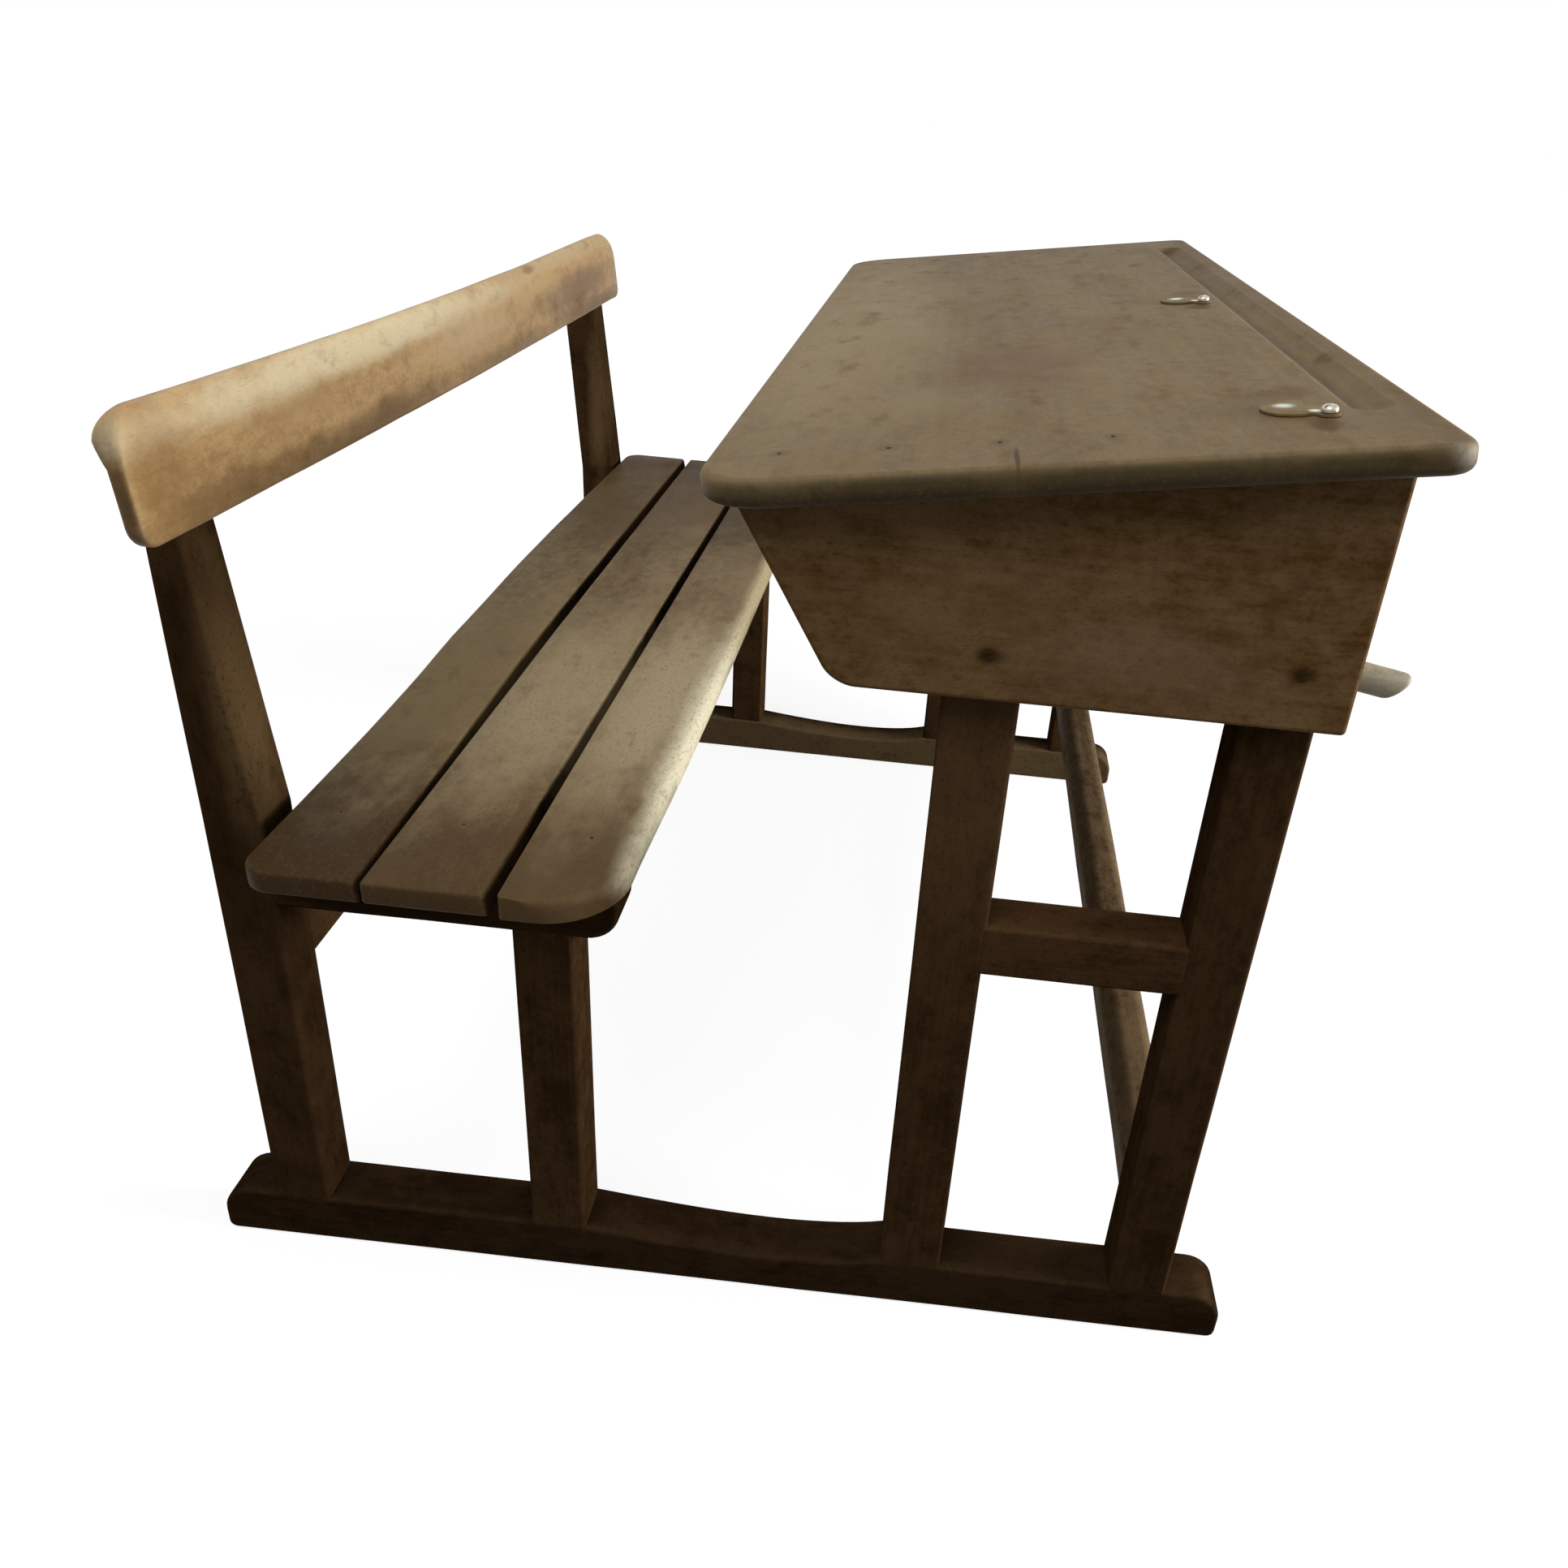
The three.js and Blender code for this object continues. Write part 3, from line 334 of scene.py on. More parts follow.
def board(piece, node, slot, finish, axis, seed, spots=(), arris=None, wave=None):
    """Finishes a board: arrises, planed faces, its material and the solid it stands for."""
    smooth(piece, sizes().arris if arris is None else arris, sizes().wave if wave is None else wave)
    wood(piece, finish, axis, seed, spots=spots)
    hand_over(piece, node)


def frames_middle():
    """Where the middle between the end frames lies along the desk."""
    return (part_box("near_sled")[0][Y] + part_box("far_sled")[1][Y]) / 2


def box_middle(node):
    return [(a + b) / 2 for a, b in zip(*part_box(node))]


# Finishes

def put(tree, kind, inputs=None, out=0, **settings):
    """Adds a shader node with its settings, values and links, and gives one output, or the node for None."""
    node = tree.nodes.new("ShaderNode" + kind)
    for key, value in settings.items():
        setattr(node, key, value)
    for key, value in (inputs or {}).items():
        if isinstance(value, bpy.types.NodeSocket):
            tree.links.new(value, node.inputs[key])
        else:
            node.inputs[key].default_value = value
    return node if out is None else node.outputs[out]


def calc(tree, operation, *values, kind="Math", out=0, **settings):
    """A maths node on up to three values."""
    return put(tree, kind, dict(enumerate(values)), out, operation=operation, **settings)


def window(tree, value, low, high, top=1.0):
    """Rises softly from nothing to the top value while a value goes from low to high."""
    return put(tree, "MapRange", {"Value": value, 1: low, 2: high, 4: top}, interpolation_type="SMOOTHSTEP")


def blend(tree, fac, under, colour):
    return put(tree, "Mix", {"Factor": fac, 6: under, 7: colour}, 2, data_type="RGBA")


def raised(tree, height, strength, distance):
    return put(tree, "Bump", {"Height": height, "Strength": strength, "Distance": distance})


def new_material(name):
    """A material with an empty node tree."""
    material = bpy.data.materials.new(name)
    material.use_nodes = True
    material.node_tree.nodes.clear()
    return material, material.node_tree


def surface(tree, inputs):
    put(tree, "OutputMaterial", {"Surface": put(tree, "BsdfPrincipled", inputs)}, None)


def wear(piece, material):
    piece.data.materials.clear()
    piece.data.materials.append(material)


def grey(value):
    return (value, value, value, 1.0)


class Finish(NamedTuple):
    """A timber finish: its colours, roughness and gloss, its rings, and how much wear and dirt show."""

    name: str
    pale: str
    dark: str
    worn: str
    end: str
    stain: str
    rough: float
    gloss: float
    ring: float
    worn_share: float
    stain_share: float
    speck_share: float = 0.5
    # Colour of the boards' sides in the gaps between them: near-black painted shade with some dirt
    side: str = ""


# Stained and waxed beech of the end frames: near black brown, rubbed a little paler on its arrises.
WAXED_BEECH = Finish("waxed_beech", "frame_pale", "frame_dark", "#6b5138", "#2f2014", "#1d1209",
                     0.7, 0.0, 7.0, 0.07, 0.45)
# The sleds' beech, soiled by floors and shoes and darker still in painted shade near the floor: the darkest
# timber, matt.
SOILED_SHADED_BEECH = Finish("soiled_shaded_beech", "sled_pale", "sled_dark", "#54402c", "#2a1d12", "#160e06",
                      0.7, 0.0, 7.0, 0.1, 0.5)
# Seat boards polished by clothes: grey brown, satin, with near-black painted shade and some dirt on their
# sides in the gaps between them.
RUBBED_SEAT = Finish("rubbed_beech_seat", "seat_pale", "seat_dark", "#b8a582", "#43311f", "#6b563b",
                     0.5, 0.05, 11.0, 0.0, 0.5, side="#2a1d11")
# Writing top worn dull by paper and sleeves, greyed by ink and hand dirt.
WORN_TOP = Finish("worn_beech_top", "top_pale", "top_dark", "#96866a", "#4b412a", "#6b5638",
                  0.55, 0.08, 13.0, 0.12, 0.5)
# Box boards under old thin varnish: warm brown, matt.
VARNISHED_BOX = Finish("varnished_beech_box", "box_pale", "box_dark", "#97794f", "#4d3922", "#553d22",
                       0.6, 0.02, 9.0, 0.05, 0.45)
# Backrest polished by backs: light tan and satin, with dark, dirty end grain.
POLISHED_BACK = Finish("polished_beech_back", "back_pale", "back_dark", "#d8c298", "#37271a", "#86643c",
                       0.45, 0.16, 15.0, 0.2, 0.4, 0.15)
# Foot rail scuffed by shoes: brown stain worn through to grey wood.
SCUFFED_RAIL = Finish("scuffed_beech_rail", "rail_pale", "rail_dark", "#857a64", "#3a2a1b", "#33241a",
                      0.65, 0.03, 8.0, 0.25, 0.5)
# Turned peg, bare wood greyed by handling.
BARE_PEG = Finish("bare_turned_wood", "#c4bba4", "#9a8d72", "#b9b2a3", "#8f8672", "#6f6650",
                  0.55, 0.2, 6.0, 0.4, 0.3)

GRAIN_TURN = {"x": (0, 0, 0), "y": (0, 0, -math.pi / 2), "z": (0, math.pi / 2, 0)}
MILLIMETRES = (1000, 1000, 1000)
RING_SCALE = 0.314  # what a finish's ring is counted in
ALONG_RINGS = 0.035  # how little the rings change along the grain
MIX_START = -1.18  # brings the middle of the mixed layers just above the middle of their window
# Patches and flecks: millimetres along and across the grain, detail, roughness and a shift of the pattern
PATTERNS = {
    "fibres": (80, 1.1, 5.0, 0.62, (0, 0, 0)),
    "flecks": (7, 0.9, 2.0, 0.5, (0, 0, 0)),
    "drift": (230, 70, 3.0, 0.55, (0, 0, 0)),
    "mottle": (42, 26, 6.0, 0.62, (11, 5, 2)),
    "blotch": (14, 10, 4.0, 0.6, (3, 8, 6)),
    "dirt": (50, 28, 6.0, 0.65, (40, 7, 3)),
    "specks": (4.5, 3, 3.0, 0.65, (5, 9, 1)),
}
# How much each pattern counts in the board's colour
WEIGHTS = {"rings": 0.06, "fibres": 0.2, "drift": 0.8, "mottle": 0.7, "blotch": 0.6, "specks": 0.7}


def wood(piece, finish, axis, seed, tilt=0.0, spots=()):
    """Dresses a board: rings, fibres, flecks, stains, painted light and shade, pale arrises and darker end
    grain along one axis.
    """
    material, tree = new_material(f"{finish.name}_{piece.name}")
    tone = {key: linear(getattr(colours(), getattr(finish, key), getattr(finish, key)))
            for key in ("pale", "dark", "worn", "end", "stain")}
    middle, half = board_box(piece, tilt)
    centre = (middle[X] * math.cos(tilt) - middle[Z] * math.sin(tilt), middle[Y],
              middle[X] * math.sin(tilt) + middle[Z] * math.cos(tilt))

    place = put(tree, "TexCoord", out=None).outputs
    from_middle = put(tree, "Mapping", {"Vector": place["Object"], "Location": centre,
                                        "Rotation": (0, -tilt, 0)}, vector_type="TEXTURE")
    # Millimetres with X along the grain, from a place of its own in the patterns
    start = (seed * 137.0 % 911, seed * 3.7 % 9 - 4, 0)
    grain = put(tree, "Mapping", {"Vector": from_middle, "Location": start, "Rotation": GRAIN_TURN[axis],
                                  "Scale": MILLIMETRES})
    layers = {}
    for name, (along, across, detail, rough, move) in PATTERNS.items():
        spread = put(tree, "Mapping", {"Vector": grain, "Location": move,
                                       "Scale": (1 / along, 1 / across, 1 / across)})
        layers[name] = put(tree, "TexNoise", {"Vector": spread, "Scale": 1.0, "Detail": detail,
                                              "Roughness": rough})
    layers["rings"] = rings(tree, grain, RING_SCALE / finish.ring, seed)

    def times(value, factor, plus=0.0, **settings):
        return calc(tree, "MULTIPLY_ADD", value, factor, plus, **settings)

    def over(fac, colour, under, share=1.0):
        return blend(tree, times(fac, share, use_clamp=True), under, colour)

    mixed = MIX_START
    for name, weight in WEIGHTS.items():
        mixed = times(layers[name], weight, mixed)
    body = blend(tree, window(tree, mixed, 0.06, 0.58), tone["dark"], tone["pale"])
    # End grain is darker and dirtier
    turned = put(tree, "Mapping", {"Vector": place["Normal"], "Rotation": GRAIN_TURN[axis]},
                 vector_type="NORMAL")
    facing = calc(tree, "ABSOLUTE", turned, kind="VectorMath")
    facing = put(tree, "SeparateXYZ", {0: facing}, None).outputs
    dirt = layers["dirt"]
    end_grain = window(tree, facing[X], 0.5, 0.95)
    body = over(end_grain, tone["end"], body, 0.85)
    body = over(times(end_grain, window(tree, dirt, 0.42, 0.6)), tone["stain"], body, 0.55)
    gloss = finish.gloss
    if finish.side:
        # Near-black painted shade, with some dirt, on the boards' sides in the gaps between them, and no
        # gloss there
        gap_shade = window(tree, facing[Y], 0.45, 0.85)
        body = over(gap_shade, linear(finish.side), body, 0.95)
        gloss = times(gap_shade, -gloss, gloss)
    for spot in spots:
        body = mark(tree, from_middle, dirt, body, spot)
    pores = window(tree, layers["flecks"], 0.6, 0.74)
    grime = window(tree, dirt, 0.52, 0.74)
    body = over(pores, tone["stain"], body, 0.3)
    body = over(window(tree, layers["specks"], 0.5, 0.75), tone["stain"], body, finish.speck_share)
    body = over(grime, tone["stain"], body, finish.stain_share)
    rubbed = window(tree, times(dirt, 0.014, edge_nearness(tree, from_middle, half)), -0.001, 0.0065)
    body = over(rubbed, tone["worn"], body, finish.worn_share)

    rough = put(tree, "MapRange", {"Value": layers["mottle"], 1: 0.3, 2: 0.7, 3: finish.rough - 0.07,
                                   4: finish.rough + 0.09})
    height = times(dirt, 0.9, times(pores, -0.5, times(layers["fibres"], 0.5)))
    surface(tree, {"Base Color": body, "Roughness": times(grime, 0.12, rough), "IOR": 1.5,
                   "Normal": raised(tree, height, 0.3, 0.0006), "Specular IOR Level": gloss})
    wear(piece, material)


def board_box(piece, tilt):
    """The middle and the half sizes of a piece in axes turned about Y by the tilt."""
    places = [(v.co.x * math.cos(tilt) + v.co.z * math.sin(tilt), v.co.y,
               -v.co.x * math.sin(tilt) + v.co.z * math.cos(tilt)) for v in piece.data.vertices]
    ends = [(min(p[i] for p in places), max(p[i] for p in places)) for i in (X, Y, Z)]
    return [(low + high) / 2 for low, high in ends], [(high - low) / 2 for low, high in ends]


def rings(tree, grain, step, seed):
    """Growth rings about a heart that lies well under the board."""
    heart = ((seed * 1.7 % 5 - 2.5) * step * 9, -step * (60 + seed * 23 % 50))
    bent = put(tree, "Mapping", {"Vector": grain, "Location": (0, *heart),
                                 "Scale": (step * ALONG_RINGS, step, step)})
    return put(tree, "TexWave", {"Vector": bent, "Scale": 1.0, "Distortion": 9.0, "Detail": 3.0,
                                 "Detail Scale": 1.3, "Detail Roughness": 0.6}, "Fac",
               wave_type="RINGS", rings_direction="X")


def edge_nearness(tree, from_middle, half):
    """How near a point is to two faces of the board at once, for its worn arrises."""
    away = calc(tree, "ABSOLUTE", from_middle, kind="VectorMath")
    away = calc(tree, "SUBTRACT", away, half, kind="VectorMath")
    away = put(tree, "SeparateXYZ", {0: away}, None).outputs
    edge = -1.0
    for one, other in ((X, Y), (Y, Z), (X, Z)):
        edge = calc(tree, "MAXIMUM", calc(tree, "MINIMUM", away[one], away[other]), edge)
    return edge


class Patch(NamedTuple):
    """A stain, rubbed patch, crack, painted light or painted shade: its place from the board's middle, its
    reach, colour and strength.
    """

    at: tuple
    reach: tuple
    colour: str
    share: float
    ragged: float = 1.0


def mark(tree, board, dirt, under, spot):
    """Paints one patch over a board's colour, with its rim broken up by the dirt."""
    moved = put(tree, "Mapping", {"Vector": board, "Location": spot.at, "Scale": spot.reach},
                vector_type="TEXTURE")
    far = calc(tree, "LENGTH", moved, kind="VectorMath", out="Value")
    ragged = calc(tree, "MULTIPLY_ADD", dirt, -spot.ragged, far)
    rim = 1.0 - spot.ragged / 2
    return blend(tree, window(tree, ragged, rim, rim - 0.75, spot.share), under, linear(spot.colour))


def metal(name, code, rough, tarnish, spread, rubbed=(), dull=False):
    """A tarnished, scratched metal: bare all over, bare only where it is rubbed, or dull with rust."""
    material, tree = new_material(name)
    place = put(tree, "TexCoord", out="Object")
    patches = put(tree, "TexNoise", {"Vector": place, "Scale": 70.0, "Detail": 5.0, "Roughness": 0.6})
    brushed = put(tree, "Mapping", {"Vector": place, "Scale": (300, 3000, 3000)})
    scratches = put(tree, "TexNoise", {"Vector": brushed, "Scale": 1.0, "Detail": 2.0})
    fac = put(tree, "MapRange", {"Value": patches, 1: 0.34, 2: 0.56, 4: spread})
    colour = blend(tree, fac, linear(code), linear(tarnish))
    bare, level = (grey(0.0), 0.1) if rubbed else (0.0, 0.1) if dull else (1.0, 0.5)
    for spot in rubbed:
        colour = mark(tree, place, patches, colour, spot)
        bare = mark(tree, place, patches, bare, spot._replace(colour="#ffffff"))
    rough = calc(tree, "MULTIPLY_ADD", patches, 0.35, rough - 0.15)
    surface(tree, {"Base Color": colour, "Metallic": bare, "Roughness": rough, "Specular IOR Level": level,
                   "Normal": raised(tree, scratches, 0.15, 0.0002)})
    return material


def glazed():
    """White glazed earthenware with an ink-stained inside."""
    material, tree = new_material("white_glazed_earthenware")
    place = put(tree, "TexCoord", out="Object")
    clouds = put(tree, "TexNoise", {"Vector": place, "Scale": 90.0, "Detail": 4.0})
    ramp = put(tree, "ValToRGB", {"Fac": clouds}, None)
    stained = ((0.35, colours().glaze), (0.75, "#8f8b95"))
    for stop, (share, code) in zip(ramp.color_ramp.elements, stained):
        stop.position = share
        stop.color = linear(code)
    surface(tree, {"Base Color": ramp.outputs[0], "Roughness": 0.18, "IOR": 1.5,
                   "Normal": raised(tree, clouds, 0.1, 0.0005)})
    return material


# Pieces

class DESK_OT_sleds(bpy.types.Operator):
    """Two floor sleds with a rounded toe and a hollow in the upper edge"""

    bl_idname = "desk.sleds"
    bl_label = "Sleds"

    def execute(self, context):
        toe, foot, end_gap, bend_share, loops = 0.026, 0.007, 0.05, 0.72, 14
        start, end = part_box("near_bench_leg")[1][X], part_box("near_desk_front_leg")[0][X]
        bend = start + bend_share * (end - start)
        shares = [i / loops for i in range(1, loops)]
        places = [(1 - s) ** 2 * start + 2 * s * (1 - s) * bend + s * s * end for s in shares]
        for seed, side in enumerate(SIDES, 1):
            node = side + "_sled"
            low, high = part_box(node)
            low = [low[X] + FIT, low[Y], low[Z] + FIT]
            high[X] -= FIT
            piece = block(node + "_timber", low, high)
            saw(X, [start, *places, end])
            for share, place in zip(shares, places):
                drop = 4 * sizes().scoop * share * (1 - share)
                shift(piece, at(x=place, z=high[Z]), (0, 0, -drop))
            saw(X, between(low[X] + end_gap, start, SLED_GAP))
            saw(X, between(end, high[X] - end_gap, SLED_GAP))
            for tip in (low[X], high[X]):
                round_edges(piece, at(x=tip, z=high[Z]), toe)
                round_edges(piece, at(x=tip, z=low[Z]), foot, 4)
            # The far one is paler on its inner face
            paler = Patch((0, (low[Y] - high[Y]) / 2, 0), (0.9, 0.05, 0.1), "#7c6748", 0.85)
            board(piece, node, "frame_wood", SOILED_SHADED_BEECH, "x", seed, [paler] if side == "far" else [])
        return {"FINISHED"}


class DESK_OT_posts(bpy.types.Operator):
    """Uprights, bench legs and desk legs, standing on the sleds"""

    bl_idname = "desk.posts"
    bl_label = "Posts"

    def execute(self, context):
        foot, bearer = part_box("near_sled")[1][Z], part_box("near_seat_bearer")[0][Z]
        kinds = ("upright", "bench_leg", "desk_front_leg", "desk_back_leg")
        for seed, (side, kind) in enumerate([(side, kind) for side in SIDES for kind in kinds], 3):
            node = f"{side}_{kind}"
            low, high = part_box(node)
            low[Z] = foot - SUNK
            if kind == "upright":
                low[X] = high[X] - sizes().upright_width
            if kind == "bench_leg":
                high[Z] = bearer + SUNK
            piece = block(node + "_post", low, high)
            if kind == "upright":
                self.lean(piece, low, high, side)
            saw(Z, between(low[Z], high[Z], POST_GAP))
            board(piece, node, "frame_wood", WAXED_BEECH, "z", seed, self.marks(side, kind, low, high))
        return {"FINISHED"}

    def marks(self, side, kind, low, high):
        """Painted shade with some soil towards the floor, and painted light and painted shade on some faces.
        """
        share = 0.1 if side == "far" or kind in ("desk_front_leg", "bench_leg") else 0.3
        # Painted shade, with some soil, darker towards the floor
        marks = [Patch((0, 0, (low[Z] - high[Z]) / 2), (0.3, 0.3, 0.72), "#241709", share, 0.6)]
        if kind == "upright":
            # Painted light on its front face above the seat
            marks.append(Patch((0.012, 0, 0.15), (0.02, 0.09, 0.16), "#957750", 0.65))
            if side == "near":
                # Painted shade on its outer face
                marks.append(Patch((-0.01, -0.022, 0.1), (0.05, 0.024, 0.3), "#2a1b0d", 0.4))
        if kind == "desk_front_leg":
            # Painted light on its upper part
            marks.append(Patch((0, 0, 0.22), (0.3, 0.3, 0.24), "#7a5d40", 0.45))
        return marks

    def lean(self, piece, low, high, side):
        start = sizes().lean_start
        saw(Z, [start])
        for x, lean in ((high[X], sizes().face_lean), (low[X], getattr(sizes(), side + "_rear_lean"))):
            shift(piece, at(x=x, z=high[Z]), (-(high[Z] - start) * math.tan(lean), 0, 0))


# How far the seat boards' rear and front edges stand from straight, in millimetres, at shares of their length
BOWS = {
    "rear_slat": (((0, 6), (0.18, 6), (0.29, 3), (0.37, -1), (0.57, -5.5), (0.71, -5.5), (0.94, -3), (1, -2)),
                  ((0, 4), (0.15, 2), (0.28, -3), (0.35, -5), (0.9, -5), (1, -4))),
    "middle_slat": (((0, 1.5), (0.2, 0.5), (0.4, -1), (1, -1.5)), ((0, 0), (1, 0))),
    "front_slat": (((0, -1), (0.2, -1.8), (1, -1.8)),
                   ((0, -4), (0.08, -4), (0.2, -1), (0.4, 0), (0.63, 0), (1, -3))),
}
# Radii of each seat board's rear and front corners
CORNERS = {"rear_slat": (0.020, 0.004), "middle_slat": (0.004, 0.004), "front_slat": (0.004, 0.055)}
# A painted pool of light, painted shade, the darker near end and the far end in painted shade, of each seat
# board
SEAT_TONES = {
    "rear_slat": ("#8f7a57", "#665034", "#523e27", "#5a452c"),
    "middle_slat": ("#c4b08b", "#665034", "#523e27", "#47351f"),
    "front_slat": ("#d2be98", "#463219", "#604b31", "#35250f"),
}


class DESK_OT_bench(bpy.types.Operator):
    """Seat bearers with a rounded nose, three seat slats and the rail under their rear"""

    bl_idname = "desk.bench"
    bl_label = "Bench"

    def execute(self, context):
        nose, plain_end = 0.025, 0.03
        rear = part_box("near_upright")[1][X]
        for seed, side in enumerate(SIDES, 11):
            node = side + "_seat_bearer"
            low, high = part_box(node)
            low[X] = rear - SUNK
            piece = block(node + "_timber", low, high)
            saw(X, between(low[X], high[X] - plain_end, SLED_GAP))
            round_edges(piece, at(x=high[X], z=low[Z]), nose)
            shadow = Patch((0, 0, 0), (0.4, 0.1, 0.1), "#342414", 0.65)
            board(piece, node, "frame_wood", WAXED_BEECH, "x", seed, [shadow])
        for seed, node in enumerate(CORNERS, 13):
            self.slat(node, seed)
        low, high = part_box("seat_apron")
        low[Y] += sizes().tenon - SUNK
        high[Y] -= sizes().tenon - SUNK
        piece = block("apron_board", low, high)
        saw(Y, between(low[Y], high[Y], LONG_GAP))
        board(piece, "seat_apron", "rail_wood", WAXED_BEECH, "y", 17)
        return {"FINISHED"}

    def slat(self, node, seed):
        arris, rubbed, undercut, width_gap = 0.0034, 0.008, 0.003, 0.028
        low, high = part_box(node)
        piece = block(node + "_board", low, high)
        for end in (low[Y], high[Y]):
            for side, radius in zip((low[X], high[X]), CORNERS[node]):
                round_edges(piece, at(x=side, y=end), radius, 12)
        if node == "front_slat":
            # The front edge is rubbed round by the backs of knees
            front = high[X] - CORNERS[node][1] - TINY
            round_edges(piece, lambda x, y, z: near(z, high[Z]) and x > front, rubbed, 6)
        soften(piece, arris)
        edit(piece)
        saw(X, between(low[X], high[X], width_gap))
        saw(Y, between(low[Y], high[Y], BEND_GAP))

        def bow(x, y, z):
            along, across = (y - low[Y]) / (high[Y] - low[Y]), (x - low[X]) / (high[X] - low[X])
            rear, front = (along_table(table, along) / 1000 for table in BOWS[node])
            if node != "front_slat":
                # Its front edge is cut under, so that no floor shows through the gap
                front += undercut * (high[Z] - z) / (high[Z] - low[Z])
            return rear * (1 - across) + front * across, 0, 0

        flex(piece, bow)
        board(piece, node, "seat_wood", RUBBED_SEAT, "y", seed, self.marks(node, low, high), arris=0)

    def marks(self, node, low, high):
        """A painted pool of light, painted shade, darker ends with the far one in painted shade and, on the
        front board, a painted highlight with some wear along its front edge.
        """
        end, half = high[Y] - (low[Y] + high[Y]) / 2, (high[X] - low[X]) / 2
        pale, shadow, near_end, far_end_shade = SEAT_TONES[node]
        # A painted pool of light, painted shade under the desk, the darker near end and the far end in
        # painted shade
        marks = [Patch((0, -0.22, 0), (0.09, 0.26, 0.05), pale, 0.8),
                 Patch((0, 0.36, 0), (0.2, 0.34, 0.05), shadow, 0.75),
                 Patch((0, -end, 0), (0.3, 0.15, 0.05), near_end, 0.85),
                 Patch((0, end, 0), (0.3, 0.17, 0.05), far_end_shade, 0.75)]
        if node == "rear_slat":
            marks.append(Patch((0, -end, 0), (0.3, 0.22, 0.05), "#3d2b1a", 0.7))
        if node == "front_slat":
            # Painted highlight, with some wear, along its rubbed round front edge
            marks.append(Patch((half, -0.28, 0.006), (0.024, 0.34, 0.03), "#fff5d2", 1.0, 0.6))
            marks.append(Patch((half, 0.1, 0.006), (0.016, 0.3, 0.03), "#d8c59c", 0.85, 0.6))
        return marks


# The backrest's section at shares of its height: its rear face as a share of the roll's reach behind the
# board, and its front face as a share of the board's thickness
BACK_REAR = ((0, 0), (0.60, 0), (0.70, 0.5), (0.78, 0.96), (0.84, 1), (0.9, 0.86), (0.95, 0.62), (1, 0.3))
BACK_FRONT = ((0, 1), (0.66, 1), (0.75, 0.96), (0.84, 0.9), (0.92, 0.76), (0.97, 0.62), (1, 0.5))
# Cream along the backrest's head, partly polish and partly painted light, brown at its foot, partly painted
# shade, and clouds between
BACK_MARKS = (
    ((0, -0.22, 0.026), (0.05, 0.5, 0.022), "#f6e4ba", 0.85),
    ((0, -0.24, -0.036), (0.05, 0.26, 0.024), "#6c4d25", 0.8),
    ((0, 0.42, -0.036), (0.05, 0.22, 0.024), "#76562f", 0.8),
    ((0, 0.1, -0.038), (0.05, 0.2, 0.02), "#745429", 0.5),
    ((0, -0.45, -0.03), (0.05, 0.16, 0.022), "#7a5c33", 0.6),
    ((0, 0.0, 0.0), (0.05, 0.16, 0.03), "#dcc091", 0.6),
    ((0, 0.36, -0.004), (0.05, 0.24, 0.03), "#7d5c36", 0.75),
    ((0, -0.32, 0.0), (0.05, 0.12, 0.02), "#c09d6c", 0.5),
    ((0, 0.33, 0.036), (0.05, 0.3, 0.014), "#d2b98c", 0.7),
    ((0, 0.2, 0.034), (0.05, 0.03, 0.006), "#8a6440", 0.7),
    ((-0.012, -0.3, 0.048), (0.012, 0.5, 0.013), "#6f6a4c", 0.7),
    ((0, -0.5, 0), (0.05, 0.05, 0.05), "#8c6b3f", 0.5),
)


class DESK_OT_backrest(bpy.types.Operator):
    """Backrest board with a rolled top edge, on the leaning uprights"""

    bl_idname = "desk.backrest"
    bl_label = "Backrest"

    def execute(self, context):
        head_corner, foot_corner, arris, foot_dip, height_gap = 0.034, 0.014, 0.0042, 0.003, 0.0055
        dip_shift, dip_share = 0.036, 0.45
        low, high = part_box("backrest_board")
        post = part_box("near_upright")[1][X]
        thick, rise = sizes().backrest_thickness, high[Z] - low[Z]
        piece = block("backrest_plank", (0, low[Y], low[Z]), (thick, high[Y], high[Z]))
        for end in (low[Y], high[Y]):
            round_edges(piece, at(y=end, z=high[Z]), head_corner, 12)
            round_edges(piece, at(y=end, z=low[Z]), foot_corner, 6)
        soften(piece, arris)
        edit(piece)
        saw(Z, between(low[Z], high[Z], height_gap))
        saw(Y, between(low[Y], high[Y], BEND_GAP))
        middle, reach = (low[Y] + high[Y]) / 2 - dip_shift, (high[Y] - low[Y]) * dip_share

        def carved(x, y, z):
            up, ahead = (z - low[Z]) / rise, x / thick
            rear = -sizes().roll_reach * along_table(BACK_REAR, up)
            front = thick * along_table(BACK_FRONT, up)
            lean = post + FIT - (z - sizes().lean_start) * math.tan(sizes().face_lean)
            bulge = max(0, 1 - ((y - middle) / reach) ** 2)
            dip = sizes().back_dip * min(1, max(0, up - 0.5) / 0.3) + foot_dip * max(0, 1 - up / 0.4)
            return lean + rear * (1 - ahead) + front * ahead - x, 0, -dip * bulge

        flex(piece, carved)
        spots = [Patch(*row) for row in BACK_MARKS]
        board(piece, "backrest_board", "backrest_wood", POLISHED_BACK, "y", 21, spots, arris=0, wave=0.0012)
        return {"FINISHED"}


